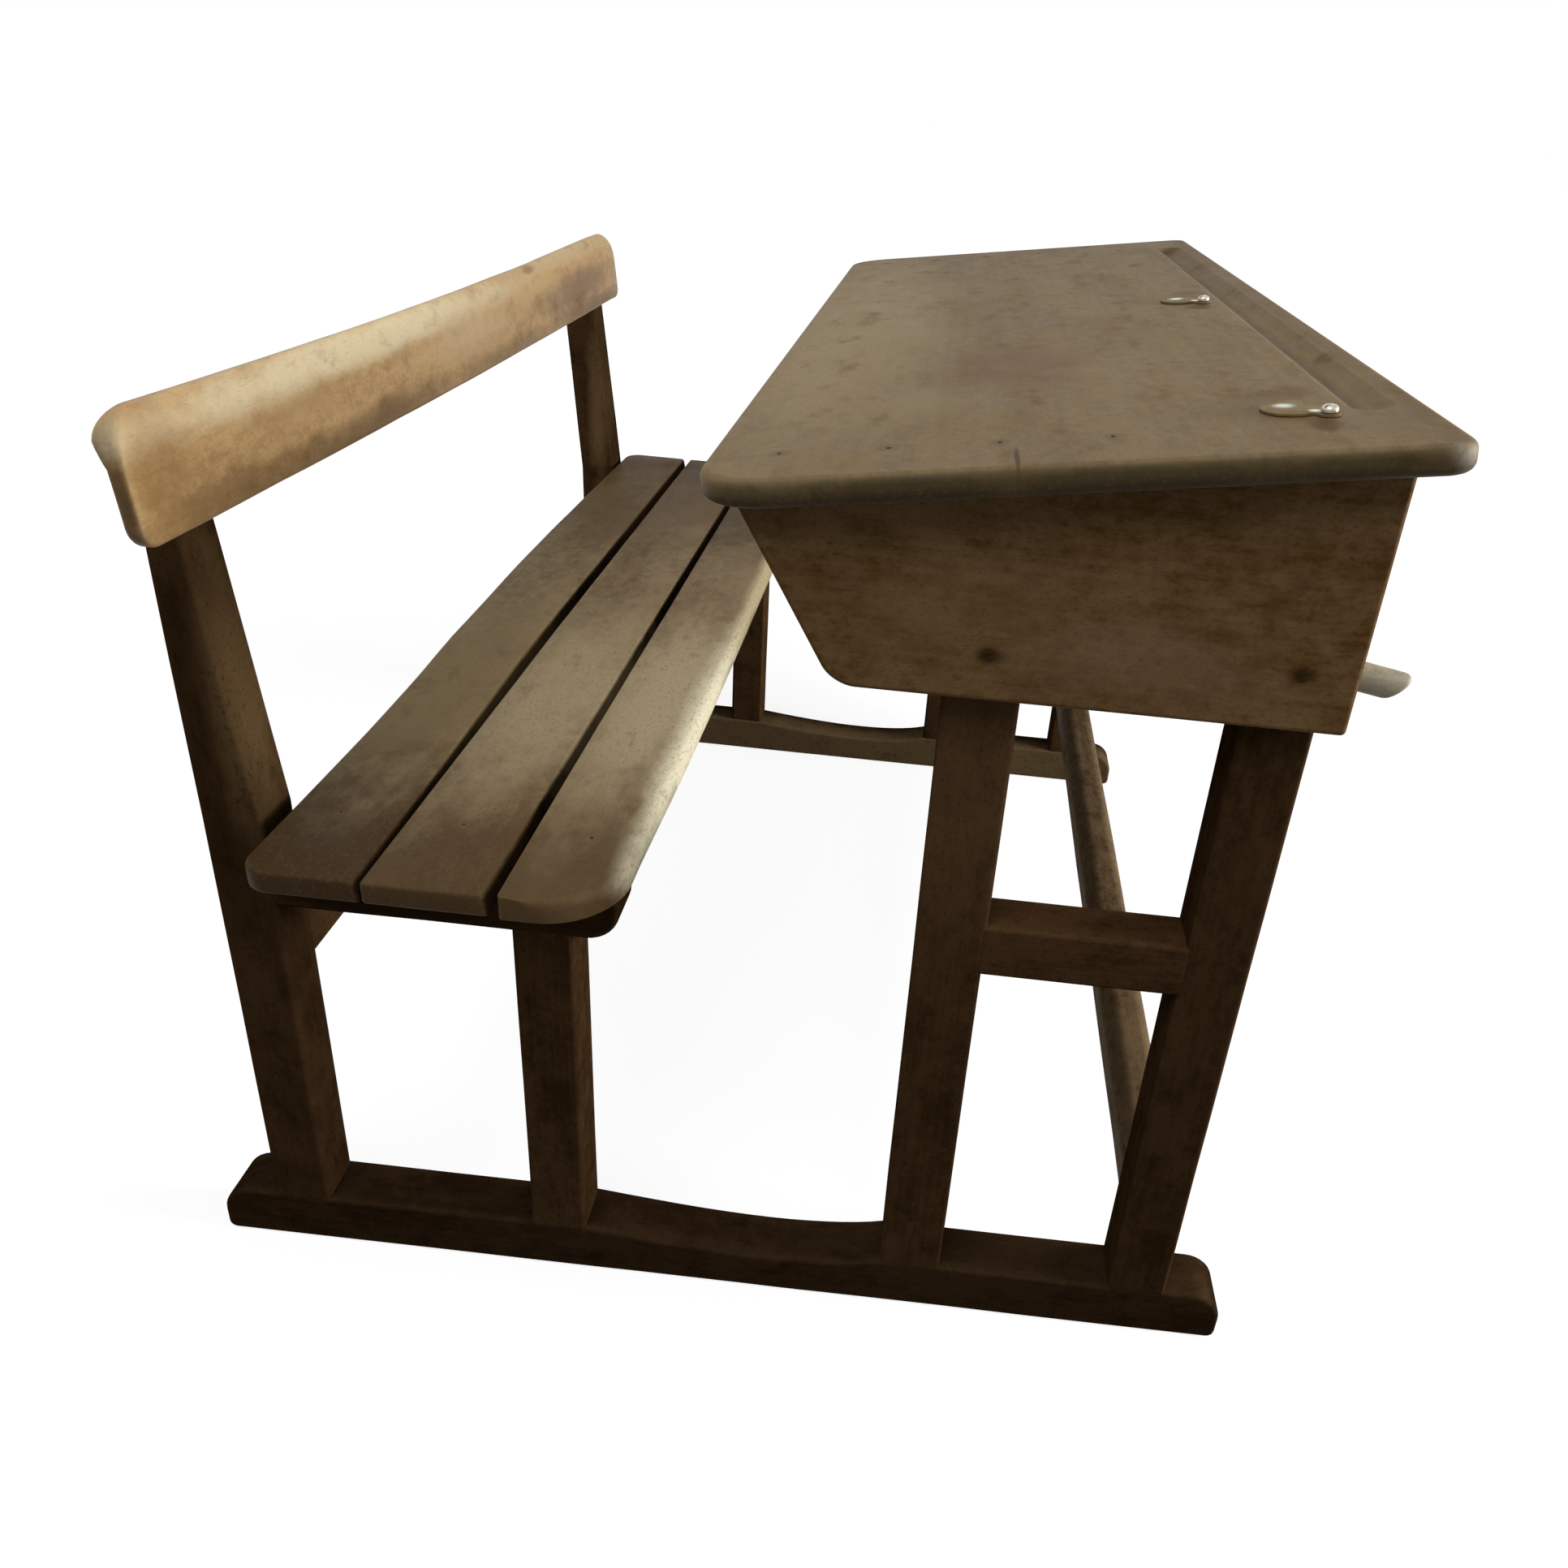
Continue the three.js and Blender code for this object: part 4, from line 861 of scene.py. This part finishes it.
class DESK_OT_rails(bpy.types.Operator):
    """Cross rails in the end frames and the foot rail worn round by shoes"""

    bl_idname = "desk.rails"
    bl_label = "Rails"

    def execute(self, context):
        start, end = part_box("near_desk_front_leg")[1][X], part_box("near_desk_back_leg")[0][X]
        for seed, side in enumerate(SIDES, 23):
            node = side + "_cross_rail"
            low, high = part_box(node)
            piece = block(node + "_timber", (start - SUNK, *low[Y:]), (end + SUNK, *high[Y:]))
            saw(X, between(start, end, RAIL_GAP))
            board(piece, node, "frame_wood", WAXED_BEECH, "x", seed)
        worn, edge = 0.016, 0.012
        low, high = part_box("foot_rail")
        low[Y] += sizes().tenon - SUNK
        high[Y] -= sizes().tenon - SUNK
        piece = block("foot_rail_timber", low, high)
        round_edges(piece, at(x=low[X], z=high[Z]), worn)
        round_edges(piece, at(x=high[X], z=high[Z]), edge)
        saw(Y, between(low[Y], high[Y], SLED_GAP))
        board(piece, "foot_rail", "rail_wood", SCUFFED_RAIL, "y", 25, arris=0.003, wave=0.0014)
        return {"FINISHED"}


class DESK_OT_box(bpy.types.Operator):
    """Box under the top: raked sides, bottom, back and the divider between the pupils"""

    bl_idname = "desk.box"
    bl_label = "Box"

    def execute(self, context):
        toe = 0.0146
        for seed, side in enumerate(SIDES, 26):
            self.wall(side + "_box_side", side + "_side_board", toe, seed)
        self.wall("box_divider", "divider_board", 0, 28)
        for seed, node in enumerate(("box_floor", "box_back"), 29):
            low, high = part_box(node)
            piece = block(node + "_board", low, high)
            if node == "box_back":
                self.slope(piece, low, high)
            saw(Y, between(low[Y], high[Y], LONG_GAP))
            even = [Patch((0, 0, 0), (9, 9, 9), "#6a4f30", 0.55, 0.0)]
            board(piece, node, "box_wood", VARNISHED_BOX, "y", seed, even, THIN_ARRIS, sizes().wave / 2)
        return {"FINISHED"}

    def slope(self, piece, low, high):
        """Cuts a piece's upper edge to the top's slope."""
        drop = (high[X] - low[X]) * math.tan(sizes().slope)
        shift(piece, at(x=low[X], z=high[Z]), (0, 0, -drop))
        return drop

    def wall(self, node, name, toe, seed):
        """A board cut to the slope above and to the rake in front."""
        plain_front = 0.1
        low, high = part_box(node)
        piece = block(name, low, high)
        drop = self.slope(piece, low, high)
        rake = (high[Z] - drop - low[Z]) * math.tan(sizes().rake)
        shift(piece, at(x=low[X], z=low[Z]), (rake, 0, 0))
        if toe:
            round_edges(piece, at(x=low[X] + rake, z=low[Z]), toe)
        saw(X, between(low[X] + plain_front, high[X], POST_GAP))
        spots = self.marks(node) if toe else []
        board(piece, node, "box_wood", VARNISHED_BOX, "x", seed, spots,
              None if toe else THIN_ARRIS, sizes().wave / 2)

    def marks(self, node):
        """Paler patches on a side, and rust stains round its screws."""
        marks = [Patch((-0.05, 0, -0.03), (0.1, 0.03, 0.05), "#94764f", 0.4),
                 Patch((0.06, 0, -0.045), (0.13, 0.03, 0.04), "#9c8262", 0.5)]
        middle = box_middle(node)
        for end in ("front", "back"):
            screw = box_middle(f"{node.split('_')[0]}_box_screw_{end}")
            marks.append(Patch((screw[X] - middle[X], 0, screw[Z] - middle[Z]), (0.014, 0.03, 0.0095),
                               "#2f1d0a", 0.95, 0.8))
        return marks


def tilt_up(piece, place=(0, 0)):
    """Takes a piece made flat, in axes along the top's slope, to its place on the top."""
    put_at(piece, (*place, 0))
    put_at(piece, top_corner(), (0, -sizes().slope, 0))


def top_corner():
    """The front end of the top's middle line."""
    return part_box("near_sled")[0][X] + sizes().top_setback, frames_middle(), sizes().top_front


def wells():
    """Each inkwell's side and its place on the top."""
    depth = sizes().top_depth - sizes().well
    return [(side, (depth, getattr(sizes(), side + "_well"))) for side in SIDES]


def nail_places(side):
    return [(sizes().nail_first + sizes().nail_pitch * i, HANDS[side] * sizes().nail_line) for i in range(4)]


# Clouds on the writing top, and a painted highlight on its near back corner: place along its depth and its
# length, reach along both, colour and strength
TOP_MARKS = (
    (0.05, 0.03, 0.12, 0.7, "#a8946f", 0.75), (0.2, -0.25, 0.08, 0.13, "#72583a", 0.7),
    (0.17, 0.08, 0.06, 0.14, "#7f6849", 0.45), (0.12, -0.36, 0.05, 0.08, "#a08d6b", 0.45),
    (0.28, -0.1, 0.05, 0.09, "#80694a", 0.45), (0.4, -0.47, 0.04, 0.05, "#7a6850", 0.4),
    (0.424, 0.0, 0.014, 1.4, "#6b5839", 0.55), (0.434, -0.54, 0.022, 0.02, "#d6d2bc", 0.65),
)


class DESK_OT_top(bpy.types.Operator):
    """Sloping top with its pen groove and the seats for the inkwells"""

    bl_idname = "desk.top"
    bl_label = "Top"

    def execute(self, context):
        front_corner, back_corner, rim = 0.045, 0.019, 0.0007
        low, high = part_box("desk_top")
        depth, half = sizes().top_depth, (high[Y] - low[Y]) / 2
        piece = block("top_board", (0, -half, -sizes().top_thickness), (depth, half, 0))
        for end in (-half, half):
            round_edges(piece, at(x=0, y=end), front_corner, 12)
            round_edges(piece, at(x=depth, y=end), back_corner, 8)
        soften(piece, sizes().top_edge, steps=6)
        self.groove(piece, depth - sizes().groove)
        # Seats for each ring, for the flange of its cup, and the hole for the cup
        flange, above = 0.0022, 0.004
        seats = ((sizes().ring + FIT, -0.0016), (sizes().cup + flange, -0.0045), (sizes().cup + FIT, -0.03))
        for _, place in wells():
            for radius, floor in seats:
                cutter = round_bar("well_cutter", radius, floor, above)
                put_at(cutter, (*place, 0))
                carve(piece, cutter)
        soften(piece, rim, math.radians(50), 2)
        tilt_up(piece)
        shade_smooth(piece)
        wood(piece, WORN_TOP, "y", 31, sizes().slope, self.marks())
        hand_over(piece, "desk_top")
        return {"FINISHED"}

    def groove(self, piece, middle):
        """A shallow cove: the cutter's underside is bent so that its rims and ends run out softly."""
        deep, edge_share, soft, coarse = sizes().groove_depth, 1.15, 0.06, 0.1
        straight = (sizes().groove_length - sizes().groove_width) / 2
        wide = sizes().groove_width / 2 * edge_share
        long, fine = straight + wide, wide / 9
        cutter = block("groove_cutter", (middle - wide, -long, -deep), (middle + wide, long, 2 * deep))
        saw(X, between(middle - wide, middle + wide, fine))
        ends = (straight, *between(straight, long, fine))
        saw(Y, [hand * place for hand in (-1, 1) for place in ends])
        saw(Y, between(-straight, straight, coarse))

        def hollow(x, y, z):
            out = math.hypot(x - middle, max(0.0, abs(y) - straight)) / wide
            depth = (1 + soft) * (1 - out * out) ** 2 - soft if out < 1 else 1 - soft - out
            return 0, 0, deep * (1 - depth) if z < 0 else 0.0

        flex(cutter, hollow)
        carve(piece, cutter)

    def marks(self):
        """Clouds, a painted highlight, painted shade with grime in the pen groove and under the board, nail
        stains, stains round the inkwells and the crack, from the board's middle.
        """
        depth, thick, deep = sizes().top_depth, sizes().top_thickness, sizes().groove_depth

        def spot(u, y, wide, long, colour, share, high=0.02, down=0.0, ragged=1.0):
            return Patch((u - depth / 2, y, thick / 2 - down), (wide, long, high), colour, share, ragged)

        marks = [spot(*row, high=0.03) for row in TOP_MARKS]
        # Painted shade, with some grime, along the front of the pen groove
        marks.append(spot(depth - sizes().groove - 0.007, 0, 0.014, 2.0, "#4f3e20", 0.7, deep, deep, 0.4))
        # Painted shade, with some dirt, on the underside and up to half of each edge
        marks.append(Patch((0, 0, -thick / 2), (9, 9, 0.0125), "#2c2314", 0.85, 0.4))
        for _, (u, y) in wells():
            marks += [spot(u - 0.02, y + 0.012, 0.045, 0.05, "#76613f", 0.5),
                      spot(u + 0.012, y + 0.05, 0.022, 0.026, "#5f4526", 0.55),
                      spot(u + 0.010, y - 0.038, 0.014, 0.02, "#4f3512", 0.8)]
        marks += [spot(*place, 0.010, 0.011, "#5a4224", 0.45, 0.01, ragged=1.1)
                  for side in SIDES for place in nail_places(side)]
        # The crack
        marks.append(spot(0.187, -0.514, 0.0022, 0.034, "#2a1e14", 0.8, 0.03, ragged=0.3))
        return marks


COVER_FACES = (0.0006, 0.0020)  # heights of a cover's faces over the top
ROUND_STEPS = 64  # corners of the larger round pieces


class DESK_OT_inkwells(bpy.types.Operator):
    """Inkwell rings, cups, swivelling covers and their pivot screws"""

    bl_idname = "desk.inkwells"
    bl_label = "Inkwells"

    def execute(self, context):
        # Screw heads rubbed bright by fingers
        bright = metal("rubbed_nickel_plate", "#cfc8ba", 0.3, "#8a7f6a", 0.4)
        glaze = glazed()
        self.turn, reach = sizes().pivot_turn, sizes().pivot_reach
        self.pivot = (reach * math.cos(self.turn), reach * math.sin(self.turn), 0)
        for side, place in wells():
            # Zinc plate gone dull: brown as the wood round it, grey green and cloudy where it is rubbed
            plate = metal("dulled_zinc_plate_" + side, "#9a8763", 0.6, "#86724f", 1.0,
                          self.rubbed(place))
            for make, node, slot, finish, body in (
                    (self.ring, "inkwell_ring", "bright_metal", plate, "desk"),
                    (self.cup, "ink_cup", "cup_glaze", glaze, "desk"),
                    (self.cover, "inkwell_cover", "bright_metal", plate, side + "_cover"),
                    (self.screw, "cover_pivot", "bright_metal", bright, "desk")):
                piece = make(side)
                tilt_up(piece, place)
                wear(piece, finish)
                hand_over(piece, f"{side}_{node}", body)
        return {"FINISHED"}

    def rubbed(self, place):
        """Bare places on a cover: a soft one where fingers push it, a small one on its neck."""
        on_top = Matrix.Translation(top_corner()) @ Matrix.Rotation(-sizes().slope, 4, "Y")
        marks = []
        for along, wide, share in ((-0.006, 0.0095, 0.95), (0.016, 0.0055, 1.0)):
            x, y = place[X] + along * math.cos(self.turn), place[Y] + along * math.sin(self.turn)
            spot = on_top @ Vector((x, y, COVER_FACES[1]))
            marks.append(Patch(spot, (wide, wide, 0.02), colours().metal, share, 0.8))
        return marks

    def ring(self, side):
        """A disc made a ring: both flat faces are inset, and the two inner loops bridged."""
        low, high, arris = -0.0012, 0.0004, 0.0004
        piece = round_bar(side + "_well_ring", sizes().ring, low, high, ROUND_STEPS)
        pick(piece, "FACE", lambda face: abs(face.normal.z) > 0.9)
        bpy.ops.mesh.inset(thickness=sizes().ring - sizes().ring_hole)
        bpy.ops.mesh.bridge_edge_loops()
        return smooth(piece, arris)

    def cup(self, side):
        """A round-footed cup with a flange under the ring, hollowed from its top."""
        top, bottom, wall, lip, flange, foot, arris = -0.0015, -0.0355, 0.0025, 0.0025, 0.002, 0.005, 0.0006
        piece = round_bar(side + "_well_cup", sizes().cup, bottom, top, ROUND_STEPS)
        saw(Z, [top - lip])
        pick(piece, "FACE", lambda face: abs(face.normal.z) < 0.1 and face.calc_center_median().z > top - lip)
        bpy.ops.mesh.extrude_region_shrink_fatten(TRANSFORM_OT_shrink_fatten={"value": flange})
        round_edges(piece, at(z=bottom), foot, 5)
        choose(piece, "FACE", lambda x, y, z: near(z, top) and math.hypot(x, y) < sizes().cup + TINY)
        bpy.ops.mesh.inset(thickness=wall)
        bpy.ops.mesh.extrude_region_move(TRANSFORM_OT_translate={"value": (0, 0, bottom + wall - top)})
        return smooth(piece, arris)

    def cover(self, side):
        """A dished disc with an eye for its screw, joined by a neck."""
        low, high = COVER_FACES
        dish, arris, eye_radius, bore_radius = 0.0004, 0.0003, 0.0065, 0.0024
        half_neck, overlap, beyond, lower = 0.005, 0.008, 0.002, 0.00005
        disc = round_bar(side + "_well_cover", sizes().cover, low, high, ROUND_STEPS)
        choose(disc, "FACE", at(z=high))
        for inset, rise in ((0.003, -dish), (0.008, dish)):
            bpy.ops.mesh.inset(thickness=inset)
            bpy.ops.transform.translate(value=(0, 0, rise))
        eye = round_bar("eye", eye_radius, low, high, 40)
        put_at(eye, self.pivot)
        carve(disc, eye, "UNION")
        neck = block("neck", (sizes().cover - overlap, -half_neck, low),
                     (sizes().pivot_reach, half_neck, high - lower))
        put_at(neck, (0, 0, 0), (0, 0, self.turn))
        carve(disc, neck, "UNION")
        bore = round_bar("bore", bore_radius, low - beyond, high + beyond, 24)
        put_at(bore, self.pivot)
        carve(disc, bore)
        return smooth(disc, arris)

    def screw(self, side):
        """A domed pivot screw with a slot across its head."""
        seat, top, point, shank_radius, head_radius, dome = 0.0028, 0.0068, -0.013, 0.002, 0.0052, 0.0028
        half_slot, half_width, slot_depth, beyond, slot_turn = 0.007, 0.0006, 0.0012, 0.002, 0.7
        piece = round_bar(side + "_pivot_screw", shank_radius, point, seat + FIT, 32)
        head = round_bar("head", head_radius, seat, top, 40)
        round_edges(head, at(z=top), dome, 6)
        carve(piece, head, "UNION")
        slot = block("slot", (-half_slot, -half_width, top - slot_depth),
                     (half_slot, half_width, top + beyond))
        put_at(slot, (0, 0, 0), (0, 0, slot_turn))
        carve(piece, slot)
        put_at(piece, self.pivot)
        return smooth(piece)


class DESK_OT_pegs(bpy.types.Operator):
    """Round satchel pegs out of the back of the box"""

    bl_idname = "desk.pegs"
    bl_label = "Satchel pegs"

    def execute(self, context):
        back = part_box("box_back")[1][X]
        radius, length, rounding, height, droop = 0.010, 0.0515, 0.006, 0.609, math.radians(10)
        worn, worn_from, inside, bend_gap = 0.013, 0.025, -0.006, 0.01
        for seed, side in enumerate(SIDES, 33):
            node = side + "_satchel_peg"
            piece = round_bar(side + "_peg", radius, inside, length, 40)
            saw(Z, between(0, length - rounding, bend_gap))
            round_edges(piece, at(z=length), rounding, 6)
            # The underside of its end is worn back
            flex(piece, lambda x, y, z: (0, 0, -worn * max(0, z - worn_from) / worn_from
                                         * (x + radius) / (2 * radius)))
            smooth(piece)
            put_at(piece, (back, box_middle(node)[Y], height), (0, math.pi / 2 + droop, 0))
            wood(piece, BARE_PEG, "x", seed)
            hand_over(piece, node)
        return {"FINISHED"}


class DESK_OT_fasteners(bpy.types.Operator):
    """Slotted screw heads and nail heads"""

    bl_idname = "desk.fasteners"
    bl_label = "Fasteners"

    def execute(self, context):
        box_screw, slat_nail, top_nail, slot_turn = 0.0045, 0.0013, 0.0015, 0.4
        # Rusted iron sunk into the wood: dark brown, rough
        self.rust = metal("rusted_iron", colours().iron, 0.75, "#36230f", 0.8, dull=True)
        for side, hand in HANDS.items():
            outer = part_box(side + "_box_side")[hand > 0][Y]
            for end in ("front", "back"):
                node = f"{side}_box_screw_{end}"
                x, _, z = box_middle(node)
                piece = self.screw_head(f"{side}_{end}_screw", box_screw)
                self.place(piece, node, (x, outer, z), (-hand * math.pi / 2, slot_turn * hand, 0))
            for height in ("upper", "lower"):
                self.back_screw(side, height)
            for seat_board in ("rear", "middle", "front"):
                node = f"{side}_{seat_board}_slat_nail"
                x, y, _ = box_middle(node)
                piece = self.nail_head(f"{side}_{seat_board}_nail", slat_nail)
                self.place(piece, node, (x, y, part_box(node)[1][Z]))
            for i, place in enumerate(nail_places(side), 1):
                piece = self.nail_head(f"{side}_nail_{i}", top_nail)
                tilt_up(piece, place)
                self.finish(piece, f"{side}_top_nail_{i}")
        return {"FINISHED"}

    def place(self, piece, node, place, turn=(0, 0, 0)):
        put_at(piece, place, turn)
        self.finish(piece, node)

    def finish(self, piece, node):
        wear(piece, self.rust)
        hand_over(piece, node)

    def back_screw(self, side, height):
        """A screw head flush with the rear face of an upright."""
        radius, slot_turn = 0.004, 0.6
        node = f"{side}_backrest_screw_{height}"
        low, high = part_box(node)
        _, y, z = box_middle(node)
        z -= (high[X] - low[X]) * math.tan(sizes().face_lean) / 2
        rear = getattr(sizes(), side + "_rear_lean")
        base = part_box(side + "_upright")[1][X] - sizes().upright_width
        x = base - (z - sizes().lean_start) * math.tan(rear)
        piece = self.screw_head(f"{side}_{height}_back_screw", radius)
        self.place(piece, node, (x, y, z), (slot_turn, -math.pi / 2 + rear, 0))

    def screw_head(self, name, radius):
        top, bottom, rim, half_slot, slot_floor, above = 0.0003, -0.003, 0.0004, 0.0006, -0.001, 0.002
        piece = round_bar(name, radius, bottom, top, 32)
        round_edges(piece, at(z=top), rim, 2)
        carve(piece, block("slot", (-radius * 2, -half_slot, slot_floor), (radius * 2, half_slot, above)))
        return smooth(piece)

    def nail_head(self, name, radius):
        top, bottom, rim = 0.0002, -0.002, 0.0003
        piece = round_bar(name, radius, bottom, top, 20)
        round_edges(piece, at(z=top), rim, 2)
        return smooth(piece)


class DESK_OT_cleats(bpy.types.Operator):
    """Finish on the cleats under the top, which keep their solid shape"""

    bl_idname = "desk.cleats"
    bl_label = "Cleats"

    def execute(self, context):
        for seed, side in enumerate(SIDES, 35):
            wood(NODES[side + "_top_cleat"], VARNISHED_BOX, "x", seed, sizes().slope)
        return {"FINISHED"}


# The photograph's viewpoint
PITCH, YAW, ROLL = (math.radians(degrees) for degrees in (26.70, -1.72, -4.98))
CAMERA_PLACE = (0.1141, -1.1871, 0.9181)
LENS, SENSOR = 28.03, 36
CAMERA_SHIFT = (-0.0625, -0.0483)
AIR_LIGHT = 0.15  # how strongly the white surroundings light the desk
LAMP_AIM = (0.0, 0.0, 0.45)
# Soft square lamps: name, place, length of a side and power in watts
LAMPS = (("side_lamp", (3.2, -0.25, 1.2), 1.6, 124.0), ("ceiling_lamp", (-0.7, -1.5, 3.0), 2.0, 35.5))


class DESK_OT_studio(bpy.types.Operator):
    """Pale floor, soft lamps and the camera"""

    bl_idname = "desk.studio"
    bl_label = "Studio"

    def execute(self, context):
        self.floor()
        self.world(context.scene)
        for lamp in LAMPS:
            self.lamp(*lamp)
        self.camera(context.scene)
        context.scene.view_settings.view_transform = "Standard"
        return {"FINISHED"}

    def seen(self, tree):
        """One for what the camera sees straight, in a gloss or through glass, zero for light on the desk."""
        ray = put(tree, "LightPath", out=None).outputs
        seen = calc(tree, "MAXIMUM", ray["Is Camera Ray"], ray["Is Glossy Ray"])
        return calc(tree, "MAXIMUM", seen, ray["Is Transmission Ray"])

    def floor(self):
        """A floor that looks white, keeps the desk's shadow and fades to plain white away from it."""
        deselect()
        side, shadow_reach, plain_from = 60, 0.9, 2.2
        bpy.ops.mesh.primitive_plane_add(size=side, location=(0, 0, 0))
        floor = bpy.context.object
        floor.name = "studio_floor"
        material, tree = new_material("pale_studio_floor")
        place = put(tree, "TexCoord", out="Object")
        seen = self.seen(tree)
        distance = calc(tree, "LENGTH", place, kind="VectorMath", out="Value")
        fade = put(tree, "MapRange", {"Value": distance, 1: shadow_reach, 2: plain_from, 3: 0.84, 4: 1.0},
                   interpolation_type="SMOOTHSTEP")
        speck = put(tree, "TexNoise", {"Vector": place, "Scale": 3.0})
        tone = put(tree, "MapRange", {"Value": speck, 3: 0.15, 4: 0.18})
        tone = calc(tree, "MULTIPLY_ADD", seen, 0.16, tone)
        diffuse = put(tree, "BsdfDiffuse", {"Color": tone})
        glow = put(tree, "Emission", {"Color": grey(1.0), "Strength": calc(tree, "MULTIPLY", seen, fade)})
        put(tree, "OutputMaterial", {"Surface": put(tree, "AddShader", {0: diffuse, 1: glow})}, None)
        floor.data.materials.append(material)

    def world(self, scene):
        world = scene.world = bpy.data.worlds.new("studio_air")
        world.use_nodes = True
        tree = world.node_tree
        tree.nodes.clear()
        strength = put(tree, "MapRange", {"Value": self.seen(tree), 3: AIR_LIGHT, 4: 1.0})
        air = put(tree, "Background", {"Color": grey(1.0), "Strength": strength})
        put(tree, "OutputWorld", {"Surface": air}, None)

    def lamp(self, name, place, size, power):
        deselect()
        bpy.ops.object.light_add(type="AREA", location=place)
        lamp = bpy.context.object
        lamp.name = name
        lamp.data.size = size
        lamp.data.energy = power
        x, y, z = (there - here for there, here in zip(LAMP_AIM, place))
        dip = math.atan2(z, math.hypot(x, y))
        lamp.rotation_euler = (math.pi / 2 + dip, 0, math.atan2(y, x) - math.pi / 2)

    def camera(self, scene):
        """The photograph's viewpoint: its place, angles, focal length and crop."""
        ahead = Vector((math.sin(YAW) * math.cos(PITCH), math.cos(YAW) * math.cos(PITCH), -math.sin(PITCH)))
        right = Vector((math.cos(YAW), -math.sin(YAW), 0))
        down = ahead.cross(right)
        side = right * math.cos(ROLL) + down * math.sin(ROLL)
        under = down * math.cos(ROLL) - right * math.sin(ROLL)
        deselect()
        bpy.ops.object.camera_add()
        camera = scene.camera = bpy.context.object
        camera.name = "photo_camera"
        turn = Matrix((side, -under, -ahead)).transposed().to_4x4()
        camera.matrix_world = Matrix.Translation(CAMERA_PLACE) @ turn
        camera.data.sensor_width = SENSOR
        camera.data.lens = LENS
        camera.data.shift_x, camera.data.shift_y = CAMERA_SHIFT


class DESK_PT_panel(bpy.types.Panel):
    """Sidebar panel that lists the desk's sizes, colours and pieces"""

    bl_idname = "DESK_PT_panel"
    bl_label = "School Desk"
    bl_space_type = "VIEW_3D"
    bl_region_type = "UI"
    bl_category = "School Desk"

    def draw(self, context):
        for group in (context.scene.desk_sizes, context.scene.desk_colours):
            column = self.layout.column(align=True)
            for key in group.__annotations__:
                column.prop(group, key)
        for operator in OPERATORS:
            self.layout.operator(operator.bl_idname)


OPERATORS = (DESK_OT_studio, DESK_OT_sleds, DESK_OT_posts, DESK_OT_bench, DESK_OT_backrest, DESK_OT_rails,
             DESK_OT_box, DESK_OT_top, DESK_OT_inkwells, DESK_OT_pegs, DESK_OT_fasteners, DESK_OT_cleats)
CLASSES = (DeskSizes, DeskColours, *OPERATORS, DESK_PT_panel)


def register():
    for cls in CLASSES:
        bpy.utils.register_class(cls)
    bpy.types.Scene.desk_sizes = PointerProperty(type=DeskSizes)
    bpy.types.Scene.desk_colours = PointerProperty(type=DeskColours)


def unregister():
    del bpy.types.Scene.desk_colours
    del bpy.types.Scene.desk_sizes
    for cls in reversed(CLASSES):
        bpy.utils.unregister_class(cls)


def main():
    register()
    deselect()
    for operator in OPERATORS:
        group, name = operator.bl_idname.split(".")
        getattr(getattr(bpy.ops, group), name)()


if __name__ == "__main__":
    main()
